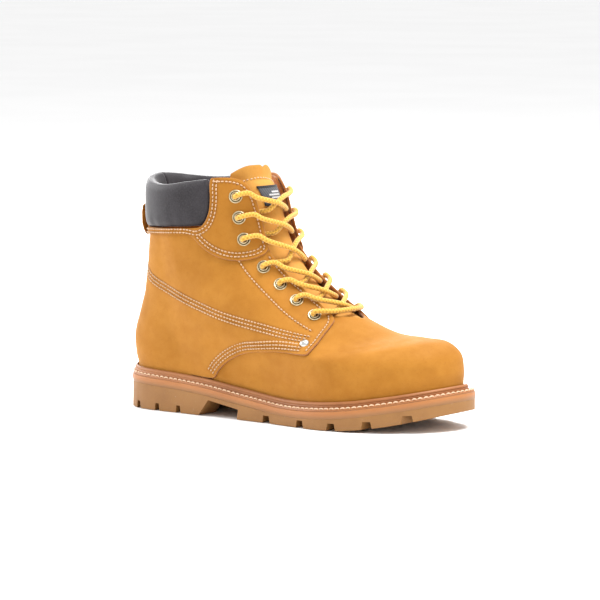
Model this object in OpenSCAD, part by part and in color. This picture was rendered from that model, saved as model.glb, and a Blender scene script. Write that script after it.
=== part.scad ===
// Ankle-high lace-up safety boot, right foot, resting on its sole.
// X runs from heel to toe, Y from the outer side to the inner side, Z up from the ground.
// The upper is a stack of rings. Ring v = 0 is the feather line, where the upper meets the
// welt, and ring v = 1 is the top line. Angle a goes round a ring: 0 at the toe,
// 90 on the outer (lateral) side, 180 at the heel and 270 on the inner (medial) side.
// Every leather panel is a patch of that surface, moved along its normal to its own layer.

/* [Boot] */
// Length of the upper along the feather line
upper_length = 290; // [250:1:330]
// Width of the upper across the ball of the foot, at the feather line
upper_width = 97; // [84:1:110]
// Height of the top line above the welt, at the heel
shaft_height = 145; // [115:1:175]

/* [Sole] */
// Height of the welt seat above the ground under the heel
seat_height = 28.5; // [27:0.5:34]
// Height of the welt seat above the ground under the ball of the foot
ball_height = 15; // [14:0.5:20]
// Height that the toe end of the sole is sprung off the ground
toe_spring = 16; // [8:0.5:18]
// Thickness of the midsole and the welt together
midsole_t = 8; // [6:0.5:9]
// Thickness of the welt flange
welt_t = 2.2; // [1.5:0.1:3]
// Height of the storm ridge above the welt flange
ridge_h = 6; // [3:0.5:8]
// Width of the storm ridge
ridge_w = 2.8; // [2:0.1:3.5]
// How far the sole stands out from the upper at the heel
heel_margin = 4.5; // [4:0.1:7]
// How far the sole stands out from the upper at the toe
toe_margin = 9; // [6:0.1:11]
// Depth of the tread
lug_depth = 5.5; // [3:0.1:6]
// Width of the tread channels
channel_w = 5; // [3:0.1:7]
// Width of an edge notch at the ground
notch_w = 7.8; // [5:0.1:10]
// Number of edge notches along each side of the forefoot
notch_count = 5; // [3:1:6]

/* [Upper] */
// Thickness of the vamp and quarter leather
leather_t = 1.8; // [1.2:0.1:2.2]
// Thickness of the facing, band and backstay leather
trim_t = 1.4; // [1:0.1:2]
// Thickness of the textile lining
lining_t = 1.2; // [0.8:0.1:1.6]
// Thickness of the steel toe cap
steel_t = 2; // [1.5:0.1:2.2]
// Thickness of the heel counter
counter_t = 1.6; // [1:0.1:1.9]
// How far the padded collar stands out from the shaft
collar_out = 4; // [2.5:0.1:6]
// How far the padded collar stands into the shaft
collar_in = 8; // [6:0.1:10]
// Thickness of the insole board
board_t = 2.4; // [1.5:0.1:3]
// Thickness of the removable footbed
footbed_t = 4; // [3:0.1:6]

/* [Tongue] */
// Thickness of the foam in the tongue
tongue_foam_t = 3.6; // [2:0.1:5]
// How far the tongue stands above the top line
tongue_rise = 11; // [5:0.5:18]

/* [Lacing] */
// Bore of an eyelet
eyelet_bore = 5; // [4.4:0.1:5.6]
// Outer diameter of an eyelet
eyelet_d = 10.5; // [9:0.1:12]
// Thickness of the lace
lace_d = 3.8; // [3:0.1:4.2]
// Diameter of a rivet head
rivet_d = 7.6; // [6:0.1:9]

/* [Hidden] */

// Clearance between two layers of the upper
gap = 0.3;
// Clearance round a panel that is stiff or doubly curved
wide_gap = 0.6;
$fn = 48;

// Rings of a boot of the sizes above: front x, front height, back x, back height.
// Heights are above the top of the storm ridge.
RINGS = [[141, 0, -148, 0], [141.5, 10, -150, 6], [138.5, 23, -150.5, 12], [126, 33.5, -150.3, 18],
    [108, 38.5, -149.5, 25], [86, 44, -147.5, 34], [58, 57, -143, 46], [33, 73, -139, 60],
    [10, 90, -136, 75], [-7, 111, -134.5, 92], [-15, 129, -133.6, 108], [-21, 144, -134, 125],
    [-30, 156, -135, 144.6]];
// Side positions of rings 0, 3, 6, 9 and 12 at every 30 degrees from the toe round
SIDES = [[10, -27, -50, -41.5, -36.5, -31, 0, 30, 31, 34, 47, 33],
    [9, -26, -52, -43, -38, -32.5, 0, 31.5, 33.5, 37, 50, 33],
    [3, -19, -40, -44, -38, -29, 0, 28, 35, 38, 37, 23],
    [1, -16, -31, -38, -37, -26, 0, 25, 36, 37, 31, 18],
    [0, -19, -33, -38, -36, -23, 0, 23, 36, 38, 32, 19]];
LAST_LENGTH = 290;
LAST_WIDTH = 97;
LAST_HEIGHT = 144.6;
kx = upper_length / LAST_LENGTH;
ky = upper_width / LAST_WIDTH;
kz = shaft_height / LAST_HEIGHT;

// Catmull-Rom spline through four values, u from the second to the third
function spline(a, b, c, d, u) =
    0.5 * (2 * b + (c - a) * u + (2 * a - 5 * b + 4 * c - d) * u * u
        + (3 * b - a - 3 * c + d) * u * u * u);
// Spline through a list, t from 0 at its first entry to 1 at its last
function along(list, t) = let(n = len(list) - 1, w = min(max(t, 0), 1) * n,
    i = min(floor(w), n - 1), b = list[i], c = list[i + 1],
    a = i > 0 ? list[i - 1] : 2 * b - c, d = i < n - 1 ? list[i + 2] : 2 * c - b)
    spline(a, b, c, d, w - i);
function mix(a, b, t) = a + (b - a) * t;
function unit(v) = v / norm(v);

// Height of the welt seat at a place along the boot, as a spline between heel and toe
SEAT = [[-153, 0], [-110, 0.11], [-60, 0.34], [-20, 0.7], [20, 1], [60, 0.91], [100, 0.55], [153, -0.2]];
toe_height = toe_spring + 15;
function seat_share(x) = let(i = min(max(search_step(x / kx), 0), len(SEAT) - 2),
    u = (x / kx - SEAT[i][0]) / (SEAT[i + 1][0] - SEAT[i][0]))
    along([for (s = SEAT) s[1]], (i + min(max(u, 0), 1)) / (len(SEAT) - 1));
function search_step(x) = len([for (s = SEAT) if (s[0] <= x) 1]) - 1;
function seat_raw(x) = ball_height + (seat_height - ball_height) * (1 - seat_share(x));
function seat(x) = seat_raw(x) + (toe_height - seat_raw(153 * kx)) * pow(max(x / kx - 60, 0) / 93, 2);
function ridge_top(x) = seat(x) + ridge_h;

// Side position on ring v at angle a
function side(v, a) = let(t = (a % 360 + 360) % 360 / 30, i = floor(t), u = t - i,
    row = along(SIDES, v)) spline(row[(i + 11) % 12], row[i % 12], row[(i + 1) % 12],
    row[(i + 2) % 12], u);
// A point of the upper's surface before it is centred on the sole
function raw(v, a) = let(w = min(max(v, 0), 1), r = along(RINGS, w), p = (1 + cos(a)) / 2,
    x = kx * mix(r[2], r[0], p), y = ky * side(w, a), below = min(v, 0) * 100,
    above = max(v - 1, 0) * 200)
    [x, y, ridge_top(x) + kz * mix(r[3], r[1], p) + below + above];
ridge_gap = 0.7;
function margin(a) = heel_margin + (toe_margin - heel_margin) * pow((1 + cos(a)) / 2, 0.65);
function plan_normal(a) = let(d = raw(0, a + 1) - raw(0, a - 1)) unit([d[1], -d[0]]);
// The upper's outline in plan, moved outwards by m, or by the sole's margin plus m
function plan_raw(m, use_margin) = [for (k = [0:71]) let(a = -5 * k, p = raw(0, a))
    [p[0], p[1]] - plan_normal(a) * (m + (use_margin ? margin(a) : 0))];
SOLE_RAW = plan_raw(0, true);
x_mid = (max([for (p = SOLE_RAW) p[0]]) + min([for (p = SOLE_RAW) p[0]])) / 2;
y_mid = (max([for (p = SOLE_RAW) p[1]]) + min([for (p = SOLE_RAW) p[1]])) / 2;
function plan(m, use_margin = false) = [for (p = plan_raw(m, use_margin)) p - [x_mid, y_mid]];
function base(v, a) = raw(v, a) - [x_mid, y_mid, 0];
function normal(v, a) = let(w = min(max(v, 0.01), 0.99))
    unit(cross(raw(w + 0.01, a) - raw(w - 0.01, a), raw(w, a + 1) - raw(w, a - 1)));
// A point of the upper, o outwards from the surface
function on(v, a, o) = base(v, a) + normal(v, a) * o;

// Layers, as the offset of each panel's outer face
quarter_step = leather_t + gap;
function quarter_o(a) = lookup(180 - abs(180 - a), [[113, quarter_step], [121, 0]]);
function facing_o(a) = quarter_o(a) + wide_gap - 0.1 + trim_t;
cap_o = -leather_t - wide_gap;
vamp_lining_o = cap_o - steel_t - wide_gap - gap;
counter_o = -leather_t - gap;
function lining_o(a) = lookup(180 - abs(180 - a), [[118, counter_o], [126, counter_o - counter_t - gap]]);
skirt = -0.01 * (ridge_h - 0.5);
inner_skirt = -0.01 * (ridge_h - board_t - 1);

// A closed shell between two grids of points, rows running up and columns clockwise
module shell(outer, inner) {
    rows = len(outer);
    cols = len(outer[0]);
    n = rows * cols;
    function id(i, j, s) = s * n + i * cols + j;
    polyhedron(
        points = concat([for (r = outer) for (p = r) p], [for (r = inner) for (p = r) p]),
        faces = concat(
            [for (i = [0:rows - 2]) for (j = [0:cols - 2]) for (f = [0, 1])
                f == 0 ? [id(i, j, 0), id(i, j + 1, 0), id(i + 1, j + 1, 0)]
                    : [id(i, j, 0), id(i + 1, j + 1, 0), id(i + 1, j, 0)]],
            [for (i = [0:rows - 2]) for (j = [0:cols - 2]) for (f = [0, 1])
                f == 0 ? [id(i, j, 1), id(i + 1, j + 1, 1), id(i, j + 1, 1)]
                    : [id(i, j, 1), id(i + 1, j, 1), id(i + 1, j + 1, 1)]],
            [for (j = [0:cols - 2]) for (f = [0:3])
                f == 0 ? [id(0, j, 0), id(0, j + 1, 1), id(0, j + 1, 0)]
                : f == 1 ? [id(0, j, 0), id(0, j, 1), id(0, j + 1, 1)]
                : f == 2 ? [id(rows - 1, j, 0), id(rows - 1, j + 1, 0), id(rows - 1, j + 1, 1)]
                : [id(rows - 1, j, 0), id(rows - 1, j + 1, 1), id(rows - 1, j, 1)]],
            [for (i = [0:rows - 2]) for (f = [0:3])
                f == 0 ? [id(i, 0, 0), id(i + 1, 0, 0), id(i + 1, 0, 1)]
                : f == 1 ? [id(i, 0, 0), id(i + 1, 0, 1), id(i, 0, 1)]
                : f == 2 ? [id(i, cols - 1, 0), id(i + 1, cols - 1, 1), id(i + 1, cols - 1, 0)]
                : [id(i, cols - 1, 0), id(i, cols - 1, 1), id(i + 1, cols - 1, 1)]]),
        convexity = 10);
}

// A patch whose edge is given as rows of angle, lowest v and highest v.
// Each patch has a column at every multiple of step degrees and at each row of its edge.
function edge_angles(rows, step) = let(first = rows[0][0], last = rows[len(rows) - 1][0])
    sorted(concat([for (r = rows) r[0]],
        [for (k = [ceil(first / step):floor(last / step)]) let(a = k * step)
            if (min([for (r = rows) abs(r[0] - a)]) > step * 0.45) a]));
function sorted(list) = len(list) < 2 ? list : let(mid = list[floor(len(list) / 2)])
    concat(sorted([for (x = list) if (x < mid) x]), [mid], sorted([for (x = list) if (x > mid) x]));
function low(rows, a) = lookup(a, [for (r = rows) [r[0], r[1]]]);
function high(rows, a) = lookup(a, [for (r = rows) [r[0], r[2]]]);
// The same edge on the inner side of the boot
function mirrored(rows) = [for (i = [len(rows) - 1:-1:0]) [360 - rows[i][0], rows[i][1], rows[i][2]]];

module patch(rows, steps, offsets, step = 6) {
    angles = edge_angles(rows, step);
    function grid(s) = [for (j = [0:steps]) [for (a = angles)
        on(mix(low(rows, a), high(rows, a), j / steps), a, offsets(a)[s])]];
    shell(grid(0), grid(1));
}

// Sets its children on the upper, with their z axis along the surface normal
module seated(v, a, o) {
    n = normal(v, a);
    translate(on(v, a, o)) rotate([0, acos(n[2]), atan2(n[1], n[0])]) children();
}

// ---- sole ----

// A wall right across the boot between two heights over the seat
module band(lo, hi) {
    xs = [for (k = [-17:17]) 10 * k * kx];
    rotate([90, 0, 0])
        linear_extrude(height = 4 * upper_width, center = true)
            polygon(concat([for (x = xs) [x - x_mid, seat(x) + lo]],
                [for (i = [len(xs) - 1:-1:0]) [xs[i] - x_mid, seat(xs[i]) + hi]]));
}
// A layer of the sole inside an outline
module layer(points, lo, hi) {
    intersection() {
        linear_extrude(height = 2 * seat_height + toe_height) polygon(points);
        band(lo, hi);
    }
}
function ground(x) = toe_spring * pow(max(x / kx - 60, 0) / 93, 1.9);
heel_front = -65 * kx;
breast_top = -55 * kx;
shank_front = -24.5 * kx;
tread_back = -26 * kx;
arch_rise = seat(breast_top) - midsole_t - 3;
arch_end = seat(shank_front) - midsole_t - 4;
half_sole = (max([for (p = SOLE_RAW) p[1]]) - min([for (p = SOLE_RAW) p[1]])) / 2;
notch_first = 4 * kx;
notch_last = 124 * kx;
HEEL_NOTCHES = [-129, -107.5, -86];
heel_lug_w = 21;

// Everything between the ground and a height above it, to cut treads with
module ground_band(depth) {
    xs = [for (k = [-17:17]) 10 * k * kx];
    rotate([90, 0, 0])
        linear_extrude(height = 4 * upper_width, center = true)
            polygon(concat([for (x = xs) [x - x_mid, ground(x) + depth]],
                [[xs[len(xs) - 1] - x_mid, -10], [xs[0] - x_mid, -10]]));
}
// A notch across one edge of the sole, narrower at its top
module notch(x, w, y0, y1) {
    translate([x - x_mid, 0, ground(x) - 1])
        rotate([90, 0, 0])
            linear_extrude(height = y1 - y0, center = false)
                polygon([[-w / 2 - 0.2, 0], [w / 2 + 0.2, 0], [w * 0.36, lug_depth + 1],
                    [-w * 0.36, lug_depth + 1]]);
}
module outsole() {
    color("#c0904f")
        difference() {
            intersection() {
                linear_extrude(height = seat_height + toe_height) polygon(plan(-0.4, true));
                rotate([90, 0, 0])
                    linear_extrude(height = 4 * upper_width, center = true)
                        polygon(concat(
                            [[-170 * kx, 0], [heel_front - x_mid, 0], [breast_top - x_mid, arch_rise],
                                [shank_front - x_mid, arch_end], [tread_back - x_mid, 0]],
                            [for (k = [5:17]) [10 * k * kx - x_mid, ground(10 * k * kx)]],
                            [for (k = [17:-1:-17]) [10 * k * kx - x_mid,
                                seat(10 * k * kx) - midsole_t]]));
            }
            // channel round the tread, inside the edge lugs
            intersection() {
                difference() {
                    linear_extrude(height = seat_height) polygon(plan(-15, true));
                    translate([0, 0, -1])
                        linear_extrude(height = seat_height + 2) polygon(plan(-15 - channel_w, true));
                }
                ground_band(lug_depth);
                translate([-10 * kx - x_mid, -half_sole, -5])
                    cube([137 * kx, 2 * half_sole, 4 * seat_height]);
            }
            // channels between the centre lugs
            intersection() {
                for (k = [0:notch_count - 1]) {
                    x = mix(notch_first, notch_last, (k + 0.5) / notch_count);
                    translate([x - x_mid - channel_w / 2, -half_sole / 2 + 2, -5])
                        cube([channel_w, half_sole * 0.95, 4 * seat_height]);
                }
                ground_band(lug_depth);
                linear_extrude(height = seat_height) polygon(plan(-15 - channel_w / 2, true));
            }
            // notches round the edge of the forefoot
            for (k = [0:notch_count - 1]) {
                x = notch_first + (notch_last - notch_first) * pow(k / (notch_count - 1), 0.87);
                y = abs(side_at(x));
                translate([0, -y + 17, 0]) notch(x, notch_w, 0, 60);
                translate([0, y + 40, 0]) notch(x, notch_w, 0, 60);
            }
            // notches round the heel
            for (x = HEEL_NOTCHES) {
                translate([0, -16, 0]) notch(x * kx, notch_w * 0.62, 0, 60);
                translate([0, 76, 0]) notch(x * kx, notch_w * 0.62, 0, 60);
            }
            // recess under the middle of the heel
            translate([heel_front - x_mid - 38, -42.5 - y_mid + heel_lug_w, -1])
                cube([60, 36, lug_depth + 2.5]);
        }
}
// Half width of the sole at a place along it
function side_at(x) = let(a = acos(min(max((2 * x / kx + 7) / 289, -1), 1)))
    abs(raw(0, a)[1]) + margin(a);

module midsole() {
    color("#d8904e") layer(plan(0, true), -midsole_t + 0.02, -welt_t - 0.02);
}
module welt() {
    color("#c27c40")
        union() {
            difference() {
                layer(plan(-0.3, true), -welt_t, 0);
                linear_extrude(height = 3 * seat_height) polygon(plan(-5.5));
            }
            difference() {
                layer(plan(ridge_gap + ridge_w), -0.1, ridge_h);
                linear_extrude(height = 3 * seat_height) polygon(plan(ridge_gap));
            }
        }
}
shank_x = -105 * kx;
shank_l = 110 * kx;
shank_w = 20;
shank_t = 1.2;
module shank_plan(grow) {
    translate([shank_x - x_mid - grow, -shank_w / 2 - grow - y_mid, 0])
        cube([shank_l + 2 * grow, shank_w + 2 * grow, 3 * seat_height]);
}
module bottom_filler() {
    color("#a5764a")
        difference() {
            layer(plan(-6), -welt_t + gap / 3, 0.4);
            intersection() {
                shank_plan(gap);
                band(-0.9, 5);
            }
        }
}
module shank() {
    color("#9aa0a6")
        intersection() {
            shank_plan(0);
            band(-0.8, -0.8 + shank_t);
        }
}
module insole_board() {
    color("#c9ab82") layer(plan(vamp_lining_o - lining_t - gap), 0.6, 0.6 + board_t);
}
module footbed() {
    color("#4a4a4e") layer(plan(-8.8), 0.9 + board_t, 0.9 + board_t + footbed_t);
}

// ---- toe and heel stiffeners ----

cap_angle = 43;
cap_top = 0.36;
function cap_edge(a) = cap_top * (1 - pow(abs(a) / (cap_angle + 3), 4));
CAP = [for (a = [-cap_angle:cap_angle / 7:cap_angle]) [a, inner_skirt, cap_edge(a)]];
CAP_RIM = [for (a = [-cap_angle:cap_angle / 7:cap_angle]) [a, cap_edge(a) + 0.005, cap_edge(a) + 0.028]];
module steel_toe_cap() {
    color("#8f959b") patch(CAP, 10, function(a) [cap_o, cap_o - steel_t], 20);
}
module toe_cap_rim() {
    color("#2c2c30") patch(CAP_RIM, 2, function(a) [cap_o - gap, cap_o - steel_t + wide_gap], 20);
}
COUNTER = [[128, inner_skirt, 0.22], [136, inner_skirt, 0.38], [150, inner_skirt, 0.45],
    [180, inner_skirt, 0.48], [210, inner_skirt, 0.45], [224, inner_skirt, 0.38], [232, inner_skirt, 0.22]];
module heel_counter() {
    color("#d9d2c2") patch(COUNTER, 6, function(a) [counter_o, counter_o - counter_t]);
}

// ---- leather panels ----

// Free edge of the vamp under the quarter
VAMP_HALF = [[26, skirt, 0.52], [32, skirt, 0.497], [37, skirt, 0.49], [44, skirt, 0.485], [62, skirt, 0.38], [69, skirt, 0.39],
    [81, skirt, 0.37], [92, skirt, 0.31], [101.5, skirt, 0.23], [107.5, skirt, 0.13], [111, skirt, 0.03]];
VAMP = concat([for (r = mirrored(VAMP_HALF)) [r[0] - 360, r[1], r[2]]], [[0, skirt, 0.5]], VAMP_HALF);
module vamp() {
    color("#d9a04e")
        difference() {
            patch(VAMP, 11, function(a) [0, -leather_t]);
            rivet_holes();
        }
}
LINING_FRONT = [[-58, inner_skirt, 0.35], [-45, inner_skirt, 0.46], [-26, inner_skirt, 0.495],
    [0, inner_skirt, 0.48], [26, inner_skirt, 0.495], [45, inner_skirt, 0.46], [58, inner_skirt, 0.35]];
module vamp_lining() {
    color("#6b5a48")
        patch(LINING_FRONT, 8, function(a) [vamp_lining_o, vamp_lining_o - lining_t]);
}
// Edge of the outer quarter: front edge, corner, then the curve down to the welt
QUARTER = [[26, 0.515, 0.53], [28, 0.507, 0.61], [32, 0.493, 0.67], [36, 0.48, 0.735],
    [36.5, 0.479, 0.8], [37, 0.478, 0.86], [37.5, 0.477, 0.925], [38, 0.476, 0.985], [44.5, 0.452, 0.99], [54, 0.385, 0.99], [62.5, 0.308, 0.99], [63.4, 0.305, 0.985],
    [69.4, 0.341, 0.93], [75, 0.337, 0.835], [81, 0.32, 0.8], [87, 0.3, 0.795], [92, 0.268, 0.797],
    [97, 0.23, 0.8], [101.5, 0.187, 0.802], [105, 0.135, 0.804], [107.5, 0.085, 0.805], [109.6, 0.02, 0.806],
    [114, 0.015, 0.807], [121, 0.012, 0.808], [122.5, skirt, 0.809], [140, skirt, 0.816], [179.3, skirt, 0.818]];
module quarter(rows) {
    color("#dba24f")
        difference() {
            patch(rows, 12, function(a) [quarter_o(a), quarter_o(a) - leather_t], 4.5);
            eyelet_holes();
            rivet_holes();
        }
}
module quarter_lateral() {
    quarter(QUARTER);
}
module quarter_medial() {
    quarter(mirrored(QUARTER));
}
QUARTER_LINING = [[61, inner_skirt, 0.795], [80, inner_skirt, 0.79], [110, inner_skirt, 0.785],
    [179.3, inner_skirt, 0.79]];
module quarter_lining(rows) {
    color("#8a6a48") patch(rows, 9, function(a) [lining_o(a), lining_o(a) - lining_t], 7);
}
module quarter_lining_lateral() {
    quarter_lining(QUARTER_LINING);
}
module quarter_lining_medial() {
    quarter_lining(mirrored(QUARTER_LINING));
}
// Edge of the eyelet facing, which narrows to a band under the collar
FACING = [[32.5, 0.8, 0.94], [34, 0.745, 0.968], [36, 0.726, 0.983], [40, 0.716, 0.995], [48, 0.706, 1],
    [56, 0.7, 1], [63, 0.698, 1], [67, 0.699, 0.965], [70.5, 0.7, 0.905], [73.5, 0.704, 0.86],
    [77.7, 0.714, 0.825], [82, 0.731, 0.805], [86, 0.754, 0.803], [89.5, 0.777, 0.804],
    [100, 0.782, 0.808], [120, 0.79, 0.815], [140, 0.797, 0.822], [179.3, 0.8, 0.824]];
module facing(rows) {
    color("#dda552")
        difference() {
            patch(rows, 6, function(a) [facing_o(a), facing_o(a) - trim_t]);
            eyelet_holes();
        }
}
module facing_lateral() {
    facing(FACING);
}
module facing_medial() {
    facing(mirrored(FACING));
}
BACKSTAY = [[172, 0.02, 0.79], [180, 0.01, 0.79], [188, 0.02, 0.79]];
module backstay() {
    color("#cf9444") patch(BACKSTAY, 12, function(a) [facing_o(a), facing_o(a) - trim_t], 8);
}

// ---- collar ----

// Lower edge of the collar, which follows the facing and the band
COLLAR_EDGE = [[67.5, 0.972], [71.5, 0.905], [74.5, 0.862], [78.5, 0.829], [83, 0.812], [100, 0.814],
    [120, 0.821], [140, 0.828], [180, 0.83], [220, 0.828], [240, 0.821], [260, 0.814], [277, 0.812],
    [281.5, 0.829], [285.5, 0.862], [288.5, 0.905], [292.5, 0.972]];
COLLAR_STEPS = 9;
// Section of the pad: share of the height from edge to top, and share of the stand-out
COLLAR_OUT = [[0, 0.35], [0.14, 0.85], [0.5, 1], [0.84, 0.82], [0.96, 0.42], [1, 0]];
COLLAR_IN = [[0.97, 0.55], [0.85, 0.85], [0.5, 1], [0.15, 0.9], [0.02, 0.72]];
function pad_depth(h) = sqrt(min(h / 0.17, 1));
function pad_point(a, share, o, e) = let(lowest = lookup(a, COLLAR_EDGE), h = 1 - lowest)
    on(mix(lowest + e * 0.004, 1 - e * 0.005, share), a, o * pad_depth(h));
function collar_ring(a, e) = concat(
    [for (p = COLLAR_OUT) pad_point(a, p[0], p[1] * collar_out - e * sign(p[1]), e)],
    [for (p = COLLAR_IN) pad_point(a, p[0], -p[1] * collar_in + e, e)]);
COLLAR_ANGLES = edge_angles([for (r = COLLAR_EDGE) [r[0], 0, 0]], 9);
// A closed solid through rings of points, one ring for each angle
module loft(rings) {
    m = len(rings[0]);
    n = len(rings);
    polyhedron(points = [for (r = rings) for (p = r) p],
        faces = concat(
            [for (i = [0:n - 2]) for (j = [0:m - 1]) for (f = [0, 1]) let(k = (j + 1) % m)
                f == 0 ? [i * m + j, (i + 1) * m + j, (i + 1) * m + k]
                    : [i * m + j, (i + 1) * m + k, i * m + k]],
            [for (j = [1:m - 2]) [0, j, j + 1]],
            [for (j = [1:m - 2]) [(n - 1) * m, (n - 1) * m + j + 1, (n - 1) * m + j]]),
        convexity = 10);
}
module collar() {
    inner = [for (a = COLLAR_ANGLES) collar_ring(a, 1.1)];
    color("#5b5a5e")
        difference() {
            loft([for (a = COLLAR_ANGLES) collar_ring(a, 0)]);
            loft([for (i = [1:len(inner) - 2]) inner[i]]);
        }
}
module collar_foam() {
    inner = [for (a = COLLAR_ANGLES) collar_ring(a, 2.2)];
    color("#b9b4a6") loft([for (i = [2:len(inner) - 3]) inner[i]]);
}

// ---- pull tab ----

tab_w = 18;
tab_t = 1.3;
tab_gap = 2.4;
tab_low = 0.828;
tab_high = 0.912;
tab_back = on(0.915, 180, collar_out)[0] - gap;
tab_z0 = base(tab_low, 180)[2] - 9;
tab_z1 = base(tab_high, 180)[2];
module tab_outline(grow) {
    h = tab_z1 - tab_z0;
    r = tab_gap / 2 + grow;
    hull() {
        translate([-tab_gap / 2 - tab_t, h - tab_gap / 2 - tab_t]) circle(r = r, $fn = 32);
        translate([-tab_gap / 2 - tab_t, 9]) circle(r = r, $fn = 32);
        translate([-tab_gap / 2 - tab_t, 3]) circle(r = r * 0.5, $fn = 32);
    }
}
module pull_tab() {
    color("#c98f42")
        translate([tab_back, tab_w / 2 - y_mid, tab_z0])
            rotate([90, 0, 0])
                linear_extrude(height = tab_w)
                    difference() {
                        tab_outline(tab_t);
                        tab_outline(0);
                    }
}

// ---- tongue ----

tongue_base = 0.485;
pad_base = 0.545;
tongue_top = 1 + tongue_rise / 200;
// Half width of the tongue at v, in degrees, narrow at its base and rounded at its top
function tongue_half(v) = lookup(v, [[0.485, 15], [0.515, 18], [0.56, 25], [0.65, 34], [0.78, 42], [0.95, 46],
    [1, 44], [1.03, 36], [1.05, 26]]);
tongue_edge_o = -0.5 - 1.25 * lace_d - 3 * gap;
function tongue_o(v, a) = let(q = 1 - pow(min(abs(a) / 46, 1), 2))
    mix(tongue_edge_o, lookup(v, [[0.485, -2.3], [0.53, -3.2], [0.6, -5], [0.75, -3.6], [1, -1.5]]), q);
TONGUE_ROWS = 15;
TONGUE_COLS = 12;
module tongue_layer(top, bottom, start, inset) {
    function grid(o) = [for (j = [0:TONGUE_ROWS]) let(v = mix(start, tongue_top - inset,
        j / TONGUE_ROWS), half = tongue_half(v) - inset * 60)
        [for (i = [0:TONGUE_COLS]) let(a = half * (2 * i / TONGUE_COLS - 1)) on(v, a, tongue_o(v, a) + o)]];
    shell(grid(top), grid(bottom));
}
module tongue() {
    color("#d9a552") tongue_layer(0, -trim_t, tongue_base, 0);
}
module tongue_padding() {
    color("#c9c2b2") tongue_layer(-trim_t - gap, -trim_t - gap - tongue_foam_t, pad_base, 0.012);
}
module tongue_lining() {
    color("#8a6a48") tongue_layer(-trim_t - 3 * gap - tongue_foam_t, -trim_t - 6 * gap - tongue_foam_t, pad_base, 0);
}
module tongue_label() {
    function grid(o) = [for (j = [0:3]) [for (i = [0:4]) let(v = mix(0.895, 0.975, j / 3), a = mix(-20, 20, i / 4))
        on(v, a, tongue_o(v, a) + o)]];
    color("#38383c") shell(grid(1), grid(0.25));
}
// Fold of thin leather between the tongue and the lining
module gusset(sign) {
    function fold(v, i, o) = let(a0 = tongue_half(v) + 5)
        [mix(a0, 60, i / 4), tongue_edge_o + mix(-0.5, 1, i / 4) + o];
    function grid(o) = [for (j = [0:8]) let(v = mix(0.56, 0.945, j / 8))
        [for (k = [0:4]) let(i = sign > 0 ? k : 4 - k, f = fold(v, i, o)) on(v, sign * f[0], f[1])]];
    color("#c48c42") shell(grid(0), grid(-0.9));
}
module gusset_lateral() {
    gusset(1);
}
module gusset_medial() {
    gusset(-1);
}

// ---- eyelets and rivets ----

// Places of the eyelets from the top down: v and angle on the outer side
EYELETS = [[0.919, 48.5], [0.836, 50.8], [0.759, 51.6], [0.681, 46], [0.628, 42.2], [0.576, 39.8],
    [0.523, 37.2]];
function eyelet_face(i) = i < 3 ? facing_o(45) : quarter_o(45);
eyelet_back = quarter_step - leather_t - wide_gap;
module eyelet_holes() {
    for (i = [0:6]) for (s = [-1, 1])
        seated(EYELETS[i][0], s * EYELETS[i][1], -5) cylinder(d = eyelet_bore + 1.6, h = 14, $fn = 20);
}
flange_h = 1.35;
// A rolled eyelet: domed flange outside, barrel, and a thin clinched ring inside
module eyelet(length) {
    r = eyelet_bore / 2;
    rotate_extrude($fn = 32)
        polygon([[r, -length - 0.7], [eyelet_d * 0.42, -length - 0.7], [eyelet_d * 0.42, -length - 0.1],
            [r + 0.6, -length - 0.1], [r + 0.6, 0.4], [eyelet_d / 2, 0.4], [eyelet_d / 2, 0.85],
            [eyelet_d * 0.44, 1.2], [eyelet_d * 0.34, flange_h], [r, flange_h]]);
}
module eyelets(s) {
    color("#a8884e")
        for (i = [0:6]) seated(EYELETS[i][0], s * EYELETS[i][1], eyelet_face(i))
            eyelet(eyelet_face(i) - eyelet_back);
}
module eyelets_lateral() {
    eyelets(1);
}
module eyelets_medial() {
    eyelets(-1);
}
RIVET = [0.402, 56.8];
module rivet_holes() {
    for (s = [-1, 1]) seated(RIVET[0], s * RIVET[1], -4) cylinder(d = 4.4, h = 10, $fn = 20);
}
module rivets() {
    color("#c8ccd0")
        for (s = [-1, 1]) seated(RIVET[0], s * RIVET[1], quarter_o(45)) {
            rotate_extrude($fn = 32)
                polygon([[0, -leather_t * 2 - gap - 0.9], [rivet_d * 0.4, -leather_t * 2 - gap - 0.9],
                    [rivet_d * 0.4, -leather_t * 2 - gap - 0.3], [1.5, -leather_t * 2 - gap - 0.3], [1.5, 0.75],
                    [rivet_d / 2, 0.75], [rivet_d / 2, 1.15], [rivet_d * 0.4, 1.8], [rivet_d * 0.22, 2.2],
                    [0, 2.35]]);
        }
}

// ---- lace ----

// Edge of the facing beside eyelet i, in degrees
FRONT_EDGE = [32.5, 33, 35, 32, 30, 28, 26];
bar_o = lace_d / 2;
// From eyelet i on side s: in through the eyelet, out from under the facing, over the tongue
// and the other facing, to the outside of the next eyelet up
function cross_points(i, s) = let(e = EYELETS[i], f = EYELETS[i - 1], up = s < 0 ? lace_d + 0.5 : 0,
    top = eyelet_face(i) + flange_h + 0.4, v1 = mix(e[0], f[0], 0.25), vm = mix(e[0], f[0], 0.5),
    v2 = mix(e[0], f[0], 0.85)) [
    on(e[0], s * e[1], top + bar_o),
    on(e[0], s * e[1], eyelet_back - 0.9 - bar_o),
    on(v1, s * (FRONT_EDGE[i] + 3), -0.9 - bar_o),
    on(mix(v1, vm, 0.5), s * (FRONT_EDGE[i] - 9), tongue_o(v1, FRONT_EDGE[i] - 9) + bar_o + 1.6),
    on(vm, 0, tongue_o(vm, 0) + bar_o + 1.6 + up),
    on(v2, -s * (FRONT_EDGE[i - 1] - 1), eyelet_face(i - 1) + bar_o + 0.6)];
function climb(i, s) = i < 1 ? [] : concat(cross_points(i, s), climb(i - 1, -s));
tail_o = collar_in + lace_d / 2 + 1.2;
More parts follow.
